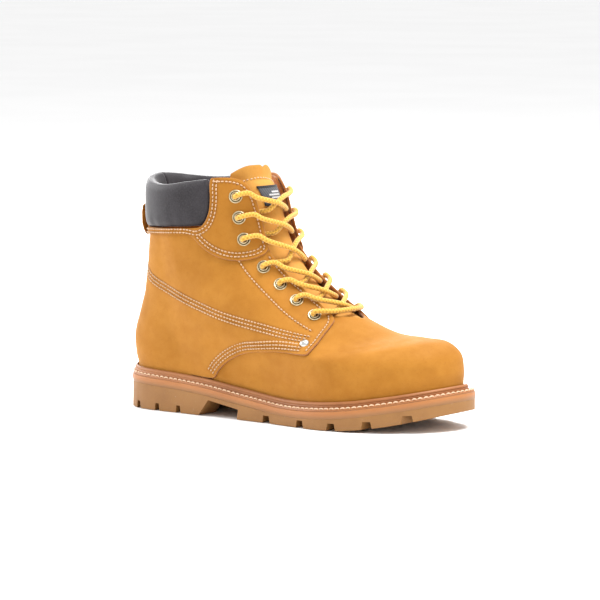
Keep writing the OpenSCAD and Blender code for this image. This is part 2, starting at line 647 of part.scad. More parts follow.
function tail(s) = let(e = EYELETS[0]) [
    on(e[0], s * e[1], eyelet_face(0) + flange_h + 0.4 + bar_o),
    on(e[0], s * e[1], eyelet_back - 0.9 - bar_o),
    on(0.965, s * 55, -4.5),
    on(0.99, s * 60, -8),
    on(0.955, s * 67, -tail_o),
    on(0.87, s * 74, -tail_o),
    on(0.78, s * 78, -tail_o + 1.5),
    on(0.7, s * 80, -tail_o + 4)];
function reversed(list) = [for (i = [len(list) - 1:-1:0]) list[i]];
BAR = [on(0.524, 24, quarter_step + bar_o), on(0.53, 0, tongue_o(0.53, 0) + bar_o + 3.4),
    on(0.524, -24, quarter_step + bar_o)];
LACE = concat(reversed(concat(climb(6, 1), tail(1))), BAR, concat(climb(6, -1), tail(-1)));
// A round tube along a path, with the ring at each point square to the path there
module tube(path, d, sides) {
    n = len(path);
    function dir(i) = unit(unit(path[min(i + 1, n - 1)] - path[min(i, n - 2)])
        + unit(path[max(i, 1)] - path[max(i - 1, 0)]));
    function frame(i) = i == 0 ? unit(cross(dir(0), [0.3, 0.2, 1]))
        : let(f = frame(i - 1), t = dir(i)) unit(f - t * (f * t));
    frames = [for (i = 0, f = frame(0); i < n; i = i + 1,
        f = i < n ? unit(f - dir(i) * (f * dir(i))) : f) f];
    loft([for (i = [0:n - 1]) let(u = frames[i], w = cross(dir(i), u))
        [for (k = [0:sides - 1]) path[i] + (u * cos(360 * k / sides) + w * sin(360 * k / sides)) * d / 2]]);
}
module lace() {
    color("#e2b13c") tube(LACE, lace_d, 8);
}
module aglets() {
    color("#c9a23a")
        for (s = [-1, 1]) tube([on(0.698, s * 80, -tail_o + 4), on(0.6, s * 81, -tail_o + 4)], lace_d, 8);
}

outsole();
midsole();
welt();
bottom_filler();
shank();
insole_board();
footbed();
steel_toe_cap();
toe_cap_rim();
vamp();
vamp_lining();
heel_counter();
quarter_lateral();
quarter_medial();
quarter_lining_lateral();
quarter_lining_medial();
facing_lateral();
facing_medial();
backstay();
pull_tab();
collar();
collar_foam();
tongue();
tongue_padding();
tongue_lining();
tongue_label();
gusset_lateral();
gusset_medial();
eyelets_lateral();
eyelets_medial();
rivets();
lace();
aglets();
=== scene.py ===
# %% [markdown]
# # A safety work boot, built as surfaces
# The boot is made the way a shoemaker thinks of it: one smooth form, the last, and leather
# panels that lie on it in layers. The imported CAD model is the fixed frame, so every piece here
# uses the same formulas as the CAD and lands in the same place. Lengths inside the formulas are
# in millimetres, because leather work is, and become metres only when a mesh is made.

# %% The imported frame
import math

import bmesh
import bpy
import numpy as np
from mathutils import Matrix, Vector


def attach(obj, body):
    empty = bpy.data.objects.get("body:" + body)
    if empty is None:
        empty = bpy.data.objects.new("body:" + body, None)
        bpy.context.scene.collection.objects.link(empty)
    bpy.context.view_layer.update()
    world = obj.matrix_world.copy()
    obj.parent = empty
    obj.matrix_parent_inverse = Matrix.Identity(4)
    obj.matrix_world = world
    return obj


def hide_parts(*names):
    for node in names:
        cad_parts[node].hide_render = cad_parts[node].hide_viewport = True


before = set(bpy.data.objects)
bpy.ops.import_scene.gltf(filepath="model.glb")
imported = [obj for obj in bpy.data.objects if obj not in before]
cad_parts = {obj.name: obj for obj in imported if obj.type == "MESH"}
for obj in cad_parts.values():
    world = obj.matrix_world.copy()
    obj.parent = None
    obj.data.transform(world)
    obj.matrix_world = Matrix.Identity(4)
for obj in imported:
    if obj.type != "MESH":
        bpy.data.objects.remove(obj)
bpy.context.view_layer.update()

MM = 0.001


def link(name, data):
    """Makes an object of the data and puts it into the scene."""
    made = bpy.data.objects.new(name, data)
    bpy.context.scene.collection.objects.link(made)
    return made


def aim(thing, back):
    """Turns a camera or lamp so that back points away from what it looks at."""
    thing.rotation_euler = Vector(-back).to_track_quat("-Z", "Y").to_euler()


# %% [markdown]
# ## Camera
# A long lens far away keeps the boot's proportions, as in a catalogue picture. The camera looks
# slightly down on the outer side, with the toe turned towards it.

# %% Camera
AZIMUTH, ELEVATION, DISTANCE = math.radians(35.51), math.radians(6.08), 2.882
TARGET = np.array([0.00186, 0.0016, 0.08965])
back = np.array([math.sin(AZIMUTH) * math.cos(ELEVATION), -math.cos(AZIMUTH) * math.cos(ELEVATION),
    math.sin(ELEVATION)])
camera_data = bpy.data.cameras.new("camera")
camera_data.lens, camera_data.sensor_width = 224.6, 36
camera_data.clip_end = 100
camera = link("camera", camera_data)
camera.location = TARGET + back * DISTANCE
aim(camera, back)
bpy.context.scene.camera = camera

# %% [markdown]
# ## The form of the upper
# Rings are stacked from the welt (v = 0) to the top line (v = 1), and an angle a runs round each
# ring: 0 at the toe, 90 on the outer side, 180 at the heel. A Catmull-Rom spline passes through
# every ring and every side position, so thirteen rings and sixty side positions give a smooth
# form. Numpy works out a whole grid of points at once.

# %% Splines
def catmull(a, b, c, d, u):
    """Catmull-Rom spline: a share u of the way from b to c, with neighbours a and d, it is half of
    2b + (c - a)u + (2a - 5b + 4c - d)u^2 + (3b - a - 3c + d)u^3."""
    return 0.5 * (2 * b + (c - a) * u + (2 * a - 5 * b + 4 * c - d) * u**2
        + (3 * b - a - 3 * c + d) * u**3)


def along(table, t):
    """The spline through the rows of table: t = 0 is the first row and 1 the last."""
    table = np.asarray(table, float)
    n = len(table) - 1
    w = np.clip(t, 0, 1) * n
    i = np.minimum(np.floor(w).astype(int), n - 1)
    u = w - i
    ends = np.concatenate([2 * table[:1] - table[1:2], table, 2 * table[-1:] - table[-2:-1]])
    return catmull(*(ends[i + k] for k in range(4)), u.reshape(u.shape + (1,) * (table.ndim - 1)))


def unit(v):
    """v divided by its own length."""
    return v / np.maximum(np.linalg.norm(v, axis=-1, keepdims=True), 1e-9)


def mix(a, b, t):
    return a + (b - a) * t


def travel(p):
    """Distance along a line of points, from its first one."""
    return np.concatenate([[0], np.cumsum(np.linalg.norm(np.diff(p, axis=0), axis=1))])


def placed(where, s, p):
    """Columns of p, known at the distances s, read at the distances where."""
    return np.stack([np.interp(where, s, column) for column in p.T], -1)


# %% Rings and side positions of the boot
SHAFT_HEIGHT = 145
SEAT_HEIGHT, BALL_HEIGHT, TOE_HEIGHT = 28.5, 15, 31
RIDGE_H, RIDGE_GAP, RIDGE_W = 6, 0.7, 2.8
HEEL_MARGIN, TOE_MARGIN = 4.5, 9
LEATHER_T, TRIM_T, LINING_T, STEEL_T, COUNTER_T = 1.8, 1.4, 1.2, 2, 1.6
COLLAR_OUT, COLLAR_IN, GAP, WIDE_GAP, LACE_D = 4, 8, 0.3, 0.6, 3.8
RINGS = [[141, 0, -148, 0], [141.5, 10, -150, 6], [138.5, 23, -150.5, 12], [126, 33.5, -150.3, 18],
    [108, 38.5, -149.5, 25], [86, 44, -147.5, 34], [58, 57, -143, 46], [33, 73, -139, 60],
    [10, 90, -136, 75], [-7, 111, -134.5, 92], [-15, 129, -133.6, 108], [-21, 144, -134, 125],
    [-30, 156, -135, 144.6]]
SIDES = [[10, -27, -50, -41.5, -36.5, -31, 0, 30, 31, 34, 47, 33],
    [9, -26, -52, -43, -38, -32.5, 0, 31.5, 33.5, 37, 50, 33],
    [3, -19, -40, -44, -38, -29, 0, 28, 35, 38, 37, 23],
    [1, -16, -31, -38, -37, -26, 0, 25, 36, 37, 31, 18],
    [0, -19, -33, -38, -36, -23, 0, 23, 36, 38, 32, 19]]
SEAT = np.array([[-153, 0], [-110, 0.11], [-60, 0.34], [-20, 0.7], [20, 1], [60, 0.91],
    [100, 0.55], [153, -0.2]])
SEAT_FRONT = 153.0  # the most forward place where the seat's height is given
SPRING_X = 60  # the toe starts to lift here
KZ = SHAFT_HEIGHT / RINGS[-1][3]


def seat_raw(x):
    """Height of the welt seat before the toe is sprung: a spline of shares from heel to ball."""
    i = np.clip(np.searchsorted(SEAT[:, 0], x, side="right") - 1, 0, len(SEAT) - 2)
    u = np.clip((x - SEAT[i, 0]) / (SEAT[i + 1, 0] - SEAT[i, 0]), 0, 1)
    share = along(SEAT[:, 1], (i + u) / (len(SEAT) - 1))
    return BALL_HEIGHT + (SEAT_HEIGHT - BALL_HEIGHT) * (1 - share)


def seat(x):
    """Height of the welt seat: a parabola lifts it in front of the ball of the foot."""
    spring = TOE_HEIGHT - seat_raw(np.array(SEAT_FRONT))
    return seat_raw(x) + spring * (np.maximum(x - SPRING_X, 0) / (SEAT_FRONT - SPRING_X)) ** 2


def side_of(w, a):
    """Side position on ring w at angle a: a closed spline through the ring's twelve positions."""
    rows = along(SIDES, w)
    t = np.mod(a, 360) / 30
    i = np.floor(t).astype(int)
    u = t - i
    near = (np.take_along_axis(rows, ((i + k) % 12)[..., None], -1)[..., 0] for k in (-1, 0, 1, 2))
    return catmull(*near, u)


def raw(v, a):
    """Point of the upper: length and height go from the heel's values to the toe's with
    (1 + cos a) / 2, and the height starts from the top of the storm ridge."""
    v, a = np.broadcast_arrays(np.asarray(v, float), np.asarray(a, float))
    w = np.clip(v, 0, 1)
    r = along(RINGS, w)
    p = (1 + np.cos(np.radians(a))) / 2
    x = r[..., 2] + (r[..., 0] - r[..., 2]) * p
    z = seat(x) + RIDGE_H + KZ * (r[..., 3] + (r[..., 1] - r[..., 3]) * p)
    z = z + np.minimum(v, 0) * 100 + np.maximum(v - 1, 0) * 200
    return np.stack([x, side_of(w, a), z], -1)


def margin(a):
    """How far the sole stands out: from heel to toe with ((1 + cos a) / 2) ^ 0.65."""
    return mix(HEEL_MARGIN, TOE_MARGIN, ((1 + np.cos(np.radians(a))) / 2) ** 0.65)


def outline(a, offset):
    """The upper's outline in plan at angles a, moved outwards by offset along its own normal."""
    p = raw(0.0, a)[..., :2]
    d = raw(0.0, a + 1)[..., :2] - raw(0.0, a - 1)[..., :2]
    inward = unit(np.stack([d[..., 1], -d[..., 0]], -1))
    return p - inward * np.asarray(offset)[..., None]


rough = outline(-5.0 * np.arange(72), margin(-5.0 * np.arange(72)))
X_MID, Y_MID = (rough.max(0) + rough.min(0)) / 2
CENTRE = np.array([X_MID, Y_MID, 0])


def normal(v, a):
    """Direction out of the surface: the cross product of its slopes along v and along a."""
    w = np.clip(v, 0.01, 0.99)
    return unit(np.cross(raw(w + 0.01, a) - raw(w - 0.01, a), raw(w, a + 1) - raw(w, a - 1)))


def on(v, a, o):
    """Point o millimetres outside the surface at (v, a)."""
    v, a, o = np.broadcast_arrays(np.asarray(v, float), np.asarray(a, float), np.asarray(o, float))
    return raw(v, a) - CENTRE + normal(v, a) * o[..., None]


def ledge(a, offset, height):
    """Points at angles a, offset outside the upper's outline and height over the welt seat."""
    plan = outline(a, offset)
    return np.concatenate([plan, (seat(plan[:, 0]) + height)[:, None]], -1) - CENTRE


print("sole is centred on", round(float(X_MID), 2), round(float(Y_MID), 2), "mm")

# %% [markdown]
# ## Layers
# Shoe leather overlaps like shingles. Each panel's outer face lies a known distance from the
# form: the vamp on it, the quarter one leather thickness above where it covers the vamp, and the
# eyelet facing above that. The linings lie inside.

# %% Layers
def half_turn(a):
    """Angle away from the toe, from 0 to 180, on either side."""
    return np.abs((np.asarray(a, float) + 180) % 360 - 180)


def quarter_o(a):
    """The quarter lies on the vamp, and sinks onto the form behind its edge with 3u^2 - 2u^3."""
    u = np.clip((half_turn(a) - 108) / 18, 0, 1)
    return (LEATHER_T + GAP) * (1 - u * u * (3 - 2 * u))


def facing_o(a):
    return quarter_o(a) + WIDE_GAP - 0.1 + TRIM_T


CAP_O = -LEATHER_T - WIDE_GAP
VAMP_LINING_O = CAP_O - STEEL_T - WIDE_GAP - GAP
COUNTER_O = -LEATHER_T - GAP


def lining_o(a):
    return np.interp(half_turn(a), [118, 126], [COUNTER_O, COUNTER_O - COUNTER_T - GAP])


def bumpy(p, size, height):
    """A slow uneven swell, the sum of three sine waves across each other, for hand-worked leather."""
    x, y, z = (p[..., k] / size for k in range(3))
    return height * (np.sin(1.7 * x + 2.3 * z + 0.6) * np.sin(1.1 * y - 1.9 * z + 2.1)
        + 0.5 * np.sin(3.1 * x - 2.7 * z + 1.3 * y) + 0.3 * np.sin(4.3 * z + 3.7 * x + 4.0))


print(f"quarter lies {quarter_o(60):.1f} mm and facing {facing_o(60):.1f} mm out")

# %% [markdown]
# ## Meshes
# A panel is a grid of points, and its inner face is the same grid one thickness further in. The
# cut edge between them is a half round wall: leather edges are never sharp. Holes are grid cells
# left out, with a wall of their own. The signed volume says whether the faces point outwards.

# %% From arrays to closed meshes
def settle(name, mesh, body):
    """Puts a mesh into the scene as a piece on its body. A piece with the name of a CAD node takes that
    node's place."""
    piece = link(name + "_form", mesh)
    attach(piece, body)
    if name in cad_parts:
        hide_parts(name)
    return piece


def mesh_piece(name, points, faces, finishes, body, slot, index=None, uv=None):
    """Makes a piece from points in mm and groups of faces: turned right side out by its signed
    volume, a sixth of the sum of a . (b x c) over its triangles. index gives each face's finish."""
    points = np.asarray(points, float).reshape(-1, 3)
    groups = faces if isinstance(faces, list) else [faces]
    volume = 0.0
    for f in groups:
        for k in range(1, f.shape[1] - 1):
            a, b, c = points[f[:, 0]], points[f[:, k]], points[f[:, k + 1]]
            volume += float(np.sum(a * np.cross(b, c))) / 6
    if volume < 0:
        groups = [f[:, ::-1] for f in groups]
    mesh = bpy.data.meshes.new(name)
    loops = np.concatenate([f.reshape(-1) for f in groups])
    sizes = np.concatenate([np.full(len(f), f.shape[1]) for f in groups])
    mesh.vertices.add(len(points))
    mesh.vertices.foreach_set("co", (points * MM).astype(np.float32).ravel())
    mesh.loops.add(len(loops))
    mesh.loops.foreach_set("vertex_index", loops.astype(np.int32))
    mesh.polygons.add(len(sizes))
    mesh.polygons.foreach_set("loop_start", (np.cumsum(sizes) - sizes).astype(np.int32))
    mesh.polygons.foreach_set("loop_total", sizes.astype(np.int32))
    if index is not None:
        mesh.polygons.foreach_set("material_index", index.astype(np.int32))
    mesh.update(calc_edges=True)
    mesh.validate()
    mesh.polygons.foreach_set("use_smooth", np.ones(len(mesh.polygons), bool))
    if uv is not None:
        layer = mesh.uv_layers.new(name="pattern")
        layer.data.foreach_set("uv", uv[loops].astype(np.float32).ravel())
    for finish in finishes if isinstance(finishes, list) else [finishes]:
        mesh.materials.append(finish)
    print(f"{name}: {len(points)} points, {abs(volume) / 1000:.1f} ml")
    return settle(name, mesh, body)


def grid_faces(rows, cols, around=False, closed=False):
    """Quads of a grid numbered row by row. around joins the last column to the first, and closed
    joins the last row to the first."""
    i = np.arange(rows * cols).reshape(rows, cols)
    if around:
        i = np.concatenate([i, i[:, :1]], 1)
    if closed:
        i = np.concatenate([i, i[:1]], 0)
    return np.stack([i[:-1, :-1], i[1:, :-1], i[1:, 1:], i[:-1, 1:]], -1).reshape(-1, 4)


def shell(outer, inner, bulge=0.0, keep=None, steps=4):
    """A closed panel between two grids. The rim wall goes from the outer face to the inner one on
    a half ellipse that stands out by bulge. keep marks the cells that stay; the rest are holes.
    Gives points, quads and each quad's part: 0 outer face, 1 cut edge, 2 inner face."""
    rows, cols = outer.shape[:2]
    n = rows * cols
    face = grid_faces(rows, cols)
    if keep is not None:
        face = face[keep.reshape(-1)]
    a, b = face.reshape(-1), np.roll(face, -1, 1).reshape(-1)
    rim = ~np.isin(a * n + b, b * n + a)
    a, b = a[rim], b[rim]
    out = np.zeros_like(outer)
    out[0] += unit(outer[0] - outer[1])
    out[-1] += unit(outer[-1] - outer[-2])
    out[:, 0] += unit(outer[:, 0] - outer[:, 1])
    out[:, -1] += unit(outer[:, -1] - outer[:, -2])
    out = (unit(out) * (np.linalg.norm(out, axis=-1, keepdims=True) > 0.5)).reshape(-1, 3)
    top, low = outer.reshape(-1, 3), inner.reshape(-1, 3)
    edge = np.unique(a)
    order = np.zeros(n, int)
    order[edge] = np.arange(len(edge))
    turn = np.linspace(0, np.pi, steps + 1)[1:-1]
    walls = [top[edge] + (low[edge] - top[edge]) * (1 - math.cos(t)) / 2
        + out[edge] * bulge * math.sin(t) for t in turn]
    ids_a, ids_b = ([end] + [2 * n + k * len(edge) + order[end] for k in range(len(turn))]
        + [end + n] for end in (a, b))
    wall = np.concatenate([np.stack([ids_b[k], ids_a[k], ids_a[k + 1], ids_b[k + 1]], -1)
        for k in range(len(turn) + 1)])
    points = np.concatenate([top, low] + walls)
    faces = np.concatenate([face, face[:, ::-1] + n, wall])
    part = np.repeat([0, 2, 1], [len(face), len(face), len(wall)])
    used = np.unique(faces)
    renumber = np.zeros(len(points), int)
    renumber[used] = np.arange(len(used))
    return points[used], renumber[faces], part


def tube_points(path, radius, sides):
    """Rings of a round tube along a path. The ring's first direction is carried along the path
    without twisting, by removing its part along each new tangent."""
    tangent = unit(np.gradient(path, axis=0))
    u = np.empty_like(path)
    u[0] = unit(np.cross(tangent[0], [0.3, 0.2, 1.0]))
    for k in range(1, len(path)):
        u[k] = u[k - 1] - tangent[k] * (u[k - 1] @ tangent[k])
        u[k] /= np.linalg.norm(u[k])
    w = np.cross(tangent, u)
    angle = np.linspace(0, 2 * np.pi, sides, endpoint=False)
    radius = np.broadcast_to(np.asarray(radius, float), (len(path),))[:, None, None]
    return path[:, None] + radius * (u[:, None] * np.cos(angle)[None, :, None]
        + w[:, None] * np.sin(angle)[None, :, None])


def tube_faces(rings, sides):
    """Quads round a tube and a fan of triangles over each end, made to the ring's first point."""
    quads = grid_faces(rings, sides, around=True)
    k = np.arange(1, sides - 1)
    last = (rings - 1) * sides
    start, end = np.stack([0 * k, k, k + 1], -1), np.stack([0 * k, k + 1, k], -1) + last
    return [quads, np.concatenate([start, end])]


def lathe(profile, n):
    """A closed profile of (radius, height) turned round the z axis: a ring with a hole."""
    profile = np.asarray(profile, float)
    angle = np.linspace(0, 2 * np.pi, n, endpoint=False)
    round_z = np.stack([np.cos(angle), np.sin(angle), np.ones(n)], -1)
    points = profile[:, None][..., [0, 0, 1]] * round_z
    return points.reshape(-1, 3), grid_faces(len(profile), n, around=True, closed=True)


def scatter(points, faces, origin, x, y, z):
    """Copies of a small shape, one at each origin with its own three directions."""
    copies = (origin[:, None] + points[None, :, :1] * x[:, None] + points[None, :, 1:2] * y[:, None]
        + points[None, :, 2:] * z[:, None])
    groups = faces if isinstance(faces, list) else [faces]
    shift = np.arange(len(origin))[:, None, None] * len(points)
    return copies.reshape(-1, 3), [(f[None] + shift).reshape(-1, f.shape[1]) for f in groups]


# %% [markdown]
# ## Writing finishes as expressions
# A material is a small sum. Wrapping each socket in a class with Python's operators lets a finish
# be read as a formula, and one method makes any other node.

# %% Values and finishes
class Value:
    """One output of a node. Its operators add Math nodes to the same material."""

    def __init__(self, finish, socket):
        self.finish, self.socket = finish, socket

    def math(self, operation, other, swap=False):
        a, b = (other, self) if swap else (self, other)
        return self.finish.node("ShaderNodeMath", {"operation": operation}, {0: a, 1: b})

    def __add__(self, other): return self.math("ADD", other)
    def __radd__(self, other): return self.math("ADD", other, True)
    def __sub__(self, other): return self.math("SUBTRACT", other)
    def __mul__(self, other): return self.math("MULTIPLY", other)

    def clamp(self, low=0.0, high=1.0):
        return self.finish.node("ShaderNodeClamp", {}, {"Value": self, "Min": low, "Max": high})

    def step(self, low, high):
        """0 below low, 1 above high, smooth between."""
        return self.finish.node("ShaderNodeMapRange", {"interpolation_type": "SMOOTHSTEP"},
            {"Value": self, "From Min": low, "From Max": high})


class Finish:
    """A material under construction, with its Principled BSDF."""

    def __init__(self, name, **constants):
        self.material = bpy.data.materials.new(name)
        self.material.use_nodes = True
        self.tree = self.material.node_tree
        self.shader = next(n for n in self.tree.nodes if n.type == "BSDF_PRINCIPLED")
        for socket, value in constants.items():
            self.shader.inputs[socket.replace("_", " ")].default_value = value
        self.place = self.node("ShaderNodeTexCoord", {}, {}, "Object")

    def node(self, kind, settings, inputs, output=0):
        made = self.tree.nodes.new(kind)
        for key, value in settings.items():
            setattr(made, key, value)
        for key, value in inputs.items():
            if isinstance(value, Value):
                self.tree.links.new(value.socket, made.inputs[key])
            elif isinstance(value, tuple) and len(value) == 3 and made.inputs[key].type == "RGBA":
                made.inputs[key].default_value = (*value, 1)
            else:
                made.inputs[key].default_value = value
        return Value(self, made.outputs[output])

    def pattern(self, axis):
        """u (axis 0) or v (axis 1) of the piece's own UV map."""
        uv = self.node("ShaderNodeUVMap", {"uv_map": "pattern"}, {}, "UV")
        return self.node("ShaderNodeSeparateXYZ", {}, {0: uv}, axis)

    def noise(self, size_mm, detail=3.0, rough=0.55, stretch=None):
        """Noise whose blobs are about size_mm across; stretch scales the three directions."""
        place = self.place
        if stretch:
            place = self.node("ShaderNodeMapping", {}, {"Vector": place, "Scale": stretch})
        return self.node("ShaderNodeTexNoise", {}, {"Vector": place, "Scale": 1000 / size_mm,
            "Detail": detail, "Roughness": rough}, "Fac")

    def mix(self, factor, a, b):
        """Colour a where factor is 0 and b where it is 1."""
        return self.node("ShaderNodeMix", {"data_type": "RGBA"}, {0: factor, 6: a, 7: b}, 2)

    def bump(self, height, distance_mm, strength=1.0):
        return self.node("ShaderNodeBump", {}, {"Height": height, "Distance": distance_mm * MM,
            "Strength": strength}, "Normal")

    def done(self, colour, roughness=None, height=None, bump_mm=0.1, strength=1.0):
        """Wires the results into the shader and gives the finished material."""
        normal_to = height and self.bump(height, bump_mm, strength)
        for value, socket in ((colour, "Base Color"), (roughness, "Roughness"), (normal_to, "Normal")):
            if value is not None:
                self.tree.links.new(value.socket, self.shader.inputs[socket])
        print("finish", self.material.name, len(self.tree.nodes), "nodes")
        return self.material


# %% [markdown]
# ## Nubuck
# Nubuck is leather sanded to a very short nap. The dye takes unevenly, so the honey colour drifts
# in soft clouds. Close up there are pores and tiny fibres, which break the light instead of
# shining. Three sizes of noise give clouds, mottle and nap, and sheen adds the soft pale rim.

# %% Nubuck, its cut edge and its suede back
def nubuck(name, light, dark, drift=0.5):
    """Sanded leather. u of the panel's UV map is 1 on a seam, where the colour is darkened as painted
    shade in the pressed-in stitch groove.
    """
    f = Finish(name, Sheen_Weight=0.10, Sheen_Roughness=0.5, Specular_IOR_Level=0.15)
    f.shader.inputs["Sheen Tint"].default_value = (1.0, 0.75, 0.42, 1)
    clouds = f.noise(42, 3, 0.6).step(0.32, 0.7)
    mottle = f.noise(9, 4, 0.6).step(0.3, 0.72)
    nap = f.noise(0.55, 2, 0.6)
    pores = f.noise(1.6, 2, 0.5).step(0.58, 0.72)
    shade = (clouds * drift + mottle * 0.28 + nap * 0.3 - 0.12).clamp()
    colour = f.mix(shade, light, dark)
    colour = f.mix(pores * 0.13, colour, (dark[0] * 0.6, dark[1] * 0.5, dark[2] * 0.4))
    # Painted shade: the colour darkens along the sewn lines, in the grooves the seams press in.
    painted_groove_shade = (dark[0] * 0.7, dark[1] * 0.62, dark[2] * 0.6)
    colour = f.mix(f.pattern(0).clamp() * 0.5, colour, painted_groove_shade)
    rough = 0.56 + nap * 0.2 + mottle * 0.08
    height = nap * 0.6 + f.noise(2.6, 3, 0.6) * 0.5 - pores * 0.25
    return f.done(colour, rough, height, 0.16, 0.55)


HONEY = nubuck("nubuck", (0.415, 0.174, 0.0225), (0.31, 0.117, 0.0110))
# The tongue's nubuck is a lighter, paler copy of the same leather: its extra lightness is painted
# highlight for the tongue's sheen.
HONEY_TONGUE_LIT = nubuck("nubuck_tongue_lit", (0.60, 0.300, 0.066), (0.47, 0.205, 0.034), 0.6)


def raw_leather(name, light, dark, hair):
    """Cut edges and flesh sides: darker, with coarse fibres of the given size in mm."""
    f = Finish(name, Sheen_Weight=0.25, Specular_IOR_Level=0.2)
    fibres = f.noise(hair, 4, 0.7, stretch=(1, 1, 1.8))
    return f.done(f.mix(fibres.step(0.3, 0.7), light, dark), 0.85 + fibres * 0.1, fibres, 0.35, 0.9)


EDGE = raw_leather("leather_edge", (0.42, 0.17, 0.045), (0.23, 0.08, 0.02), 0.8)
SUEDE = raw_leather("suede", (0.60, 0.235, 0.05), (0.40, 0.13, 0.022), 1.1)
PANEL = [HONEY, EDGE, SUEDE]

# %% [markdown]
# ## Rubber, metal, cloth and cord finishes
# The gum sole is translucent brown rubber with a dull skin; the welt and the midsole edge are
# warmer and smoother. Metal parts are plain metal with a little tarnish. The collar is a coated
# cloth with a pebbled grain. The lace is a round braid, so its pattern runs on its own UV map.

# %% Rubber
def rubber(name, light, dark, rough, grain=0.7, speck=0.0):
    f = Finish(name, Specular_IOR_Level=0.4)
    clouds = f.noise(26, 3, 0.6)
    fine = f.noise(grain, 3, 0.6)
    colour = f.mix((clouds * 0.8 + fine * 0.35 - 0.1).step(0.25, 0.85), light, dark)
    if speck:
        colour = f.mix(f.noise(2.2, 2, 0.6).step(0.66, 0.8) * speck, colour, (0.9, 0.8, 0.62))
    return f.done(colour, rough + fine * 0.16, fine + f.noise(6, 2) * 0.6, 0.07, 0.6)


GUM = rubber("gum_rubber", (0.295, 0.138, 0.038), (0.22, 0.097, 0.025), 0.5, 0.8, 0.12)


def midsole_with_painted_light():
    """The midsole edge, lighter at its top and the colour of the outsole at its foot: painted highlight
    on its rounded top and painted shade towards its foot. v of the swept piece's UV map runs from 0 at
    the foot to 1 at the top."""
    f = Finish("midsole_rubber", Specular_IOR_Level=0.4)
    clouds = f.noise(26, 3, 0.6)
    fine = f.noise(1.1, 3, 0.6)
    low = f.mix(clouds, (0.29, 0.136, 0.044), (0.22, 0.098, 0.031))
    high = f.mix(clouds, (0.43, 0.172, 0.052), (0.33, 0.122, 0.034))
    # Painted light: the colour goes from the shade colour at the foot to the highlight colour at the
    # top.
    colour = f.mix((f.pattern(1) + clouds * 0.2 - 0.1).step(0.0, 0.75), low, high)
    return f.done(colour, 0.4 + fine * 0.16, fine + f.noise(6, 2) * 0.6, 0.07, 0.6)


MIDSOLE = midsole_with_painted_light()
WELT = rubber("welt_rubber", (0.33, 0.126, 0.038), (0.25, 0.088, 0.024), 0.42, 1.2)
BLACK_RUBBER = rubber("rim_rubber", (0.03, 0.03, 0.034), (0.015, 0.015, 0.017), 0.6)


# %% Metals
def metal(name, light, dark, rough, worn_mm):
    f = Finish(name, Metallic=1.0)
    tarnish = f.noise(worn_mm, 4, 0.65)
    scratch = f.noise(0.5, 2, 0.5, stretch=(1, 1, 6))
    colour = f.mix(tarnish.step(0.35, 0.7), light, dark)
    return f.done(colour, rough + tarnish * 0.16 + scratch * 0.08, scratch, 0.02, 0.4)


BRASS = metal("antique_brass", (0.62, 0.55, 0.37), (0.44, 0.36, 0.21), 0.2, 3)
BRASS_DARK = metal("antique_brass_dark", (0.16, 0.12, 0.07), (0.07, 0.05, 0.03), 0.4, 2)
STEEL = metal("rivet_steel", (0.60, 0.60, 0.58), (0.50, 0.49, 0.47), 0.22, 12)
SPRING = metal("spring_steel", (0.5, 0.52, 0.55), (0.34, 0.35, 0.38), 0.32, 9)
TOE_STEEL = metal("toe_steel", (0.42, 0.43, 0.44), (0.28, 0.28, 0.29), 0.38, 12)


# %% Cloth, foam and board
def cloth(name, light, dark, thread_mm, rough=0.8, sheen=0.2, weave=True):
    """Weave from two crossed sine waves of the place, mixed with a little fibre noise."""
    f = Finish(name, Sheen_Weight=sheen, Specular_IOR_Level=0.3)
    fibre = f.noise(thread_mm, 3, 0.65)
    if weave:
        wave = f.node("ShaderNodeTexWave", {"wave_type": "BANDS", "bands_direction": "DIAGONAL"},
            {"Vector": f.place, "Scale": 500 / thread_mm / 3.1416, "Distortion": 1.2}, "Fac")
        fibre = fibre * 0.5 + wave * 0.5
    blotch = f.noise(18, 3, 0.6)
    colour = f.mix((fibre * 0.6 + blotch * 0.5).step(0.25, 0.85), light, dark)
    return f.done(colour, rough + fibre * 0.1, fibre, 0.18, 0.8)


FOAM = cloth("foam", (0.66, 0.63, 0.55), (0.50, 0.47, 0.40), 1.2, 0.9, 0.1, False)
LINING = cloth("lining_cloth", (0.20, 0.14, 0.09), (0.10, 0.07, 0.045), 1.0)
SOCK = cloth("footbed_cloth", (0.075, 0.075, 0.085), (0.035, 0.035, 0.04), 1.3)
BOARD = cloth("fibre_board", (0.55, 0.42, 0.28), (0.4, 0.29, 0.18), 0.9, 0.85, 0.0, False)
CORK = cloth("cork", (0.42, 0.26, 0.13), (0.2, 0.11, 0.05), 2.2, 0.85, 0.0, False)
THREAD = cloth("thread", (0.68, 0.47, 0.30), (0.46, 0.28, 0.15), 0.5, 0.6, 0.2, False)
WELT_THREAD = cloth("welt_thread", (0.78, 0.56, 0.38), (0.58, 0.36, 0.21), 0.7, 0.6, 0.2, False)
LABEL = cloth("label_cloth", (0.075, 0.078, 0.088), (0.035, 0.036, 0.042), 0.7, 0.7)
BINDING = cloth("label_binding", (0.012, 0.012, 0.014), (0.006, 0.006, 0.007), 0.6, 0.7)
MARK = cloth("label_mark", (0.52, 0.52, 0.53), (0.36, 0.36, 0.37), 0.6, 0.7)


def collar_cloth():
    """Coated cloth: a dark skin with a fine pebble and a satin shine."""
    f = Finish("collar_skin", Specular_IOR_Level=0.14, Sheen_Weight=0.32, Sheen_Roughness=0.4)
    pebble = f.node("ShaderNodeTexVoronoi", {"feature": "SMOOTH_F1"},
        {"Vector": f.place, "Scale": 1000 / 0.9}, "Distance")
    clouds = f.noise(20, 3, 0.6)
    colour = f.mix(clouds.step(0.3, 0.7), (0.030, 0.026, 0.0295), (0.017, 0.0145, 0.0165))
    colour = f.mix(pebble * 0.3, colour, (0.09, 0.085, 0.09))
    return f.done(colour, 0.44 + clouds * 0.1, pebble + f.noise(3, 2) * 0.4, 0.12, 0.6)


COLLAR_SKIN = collar_cloth()


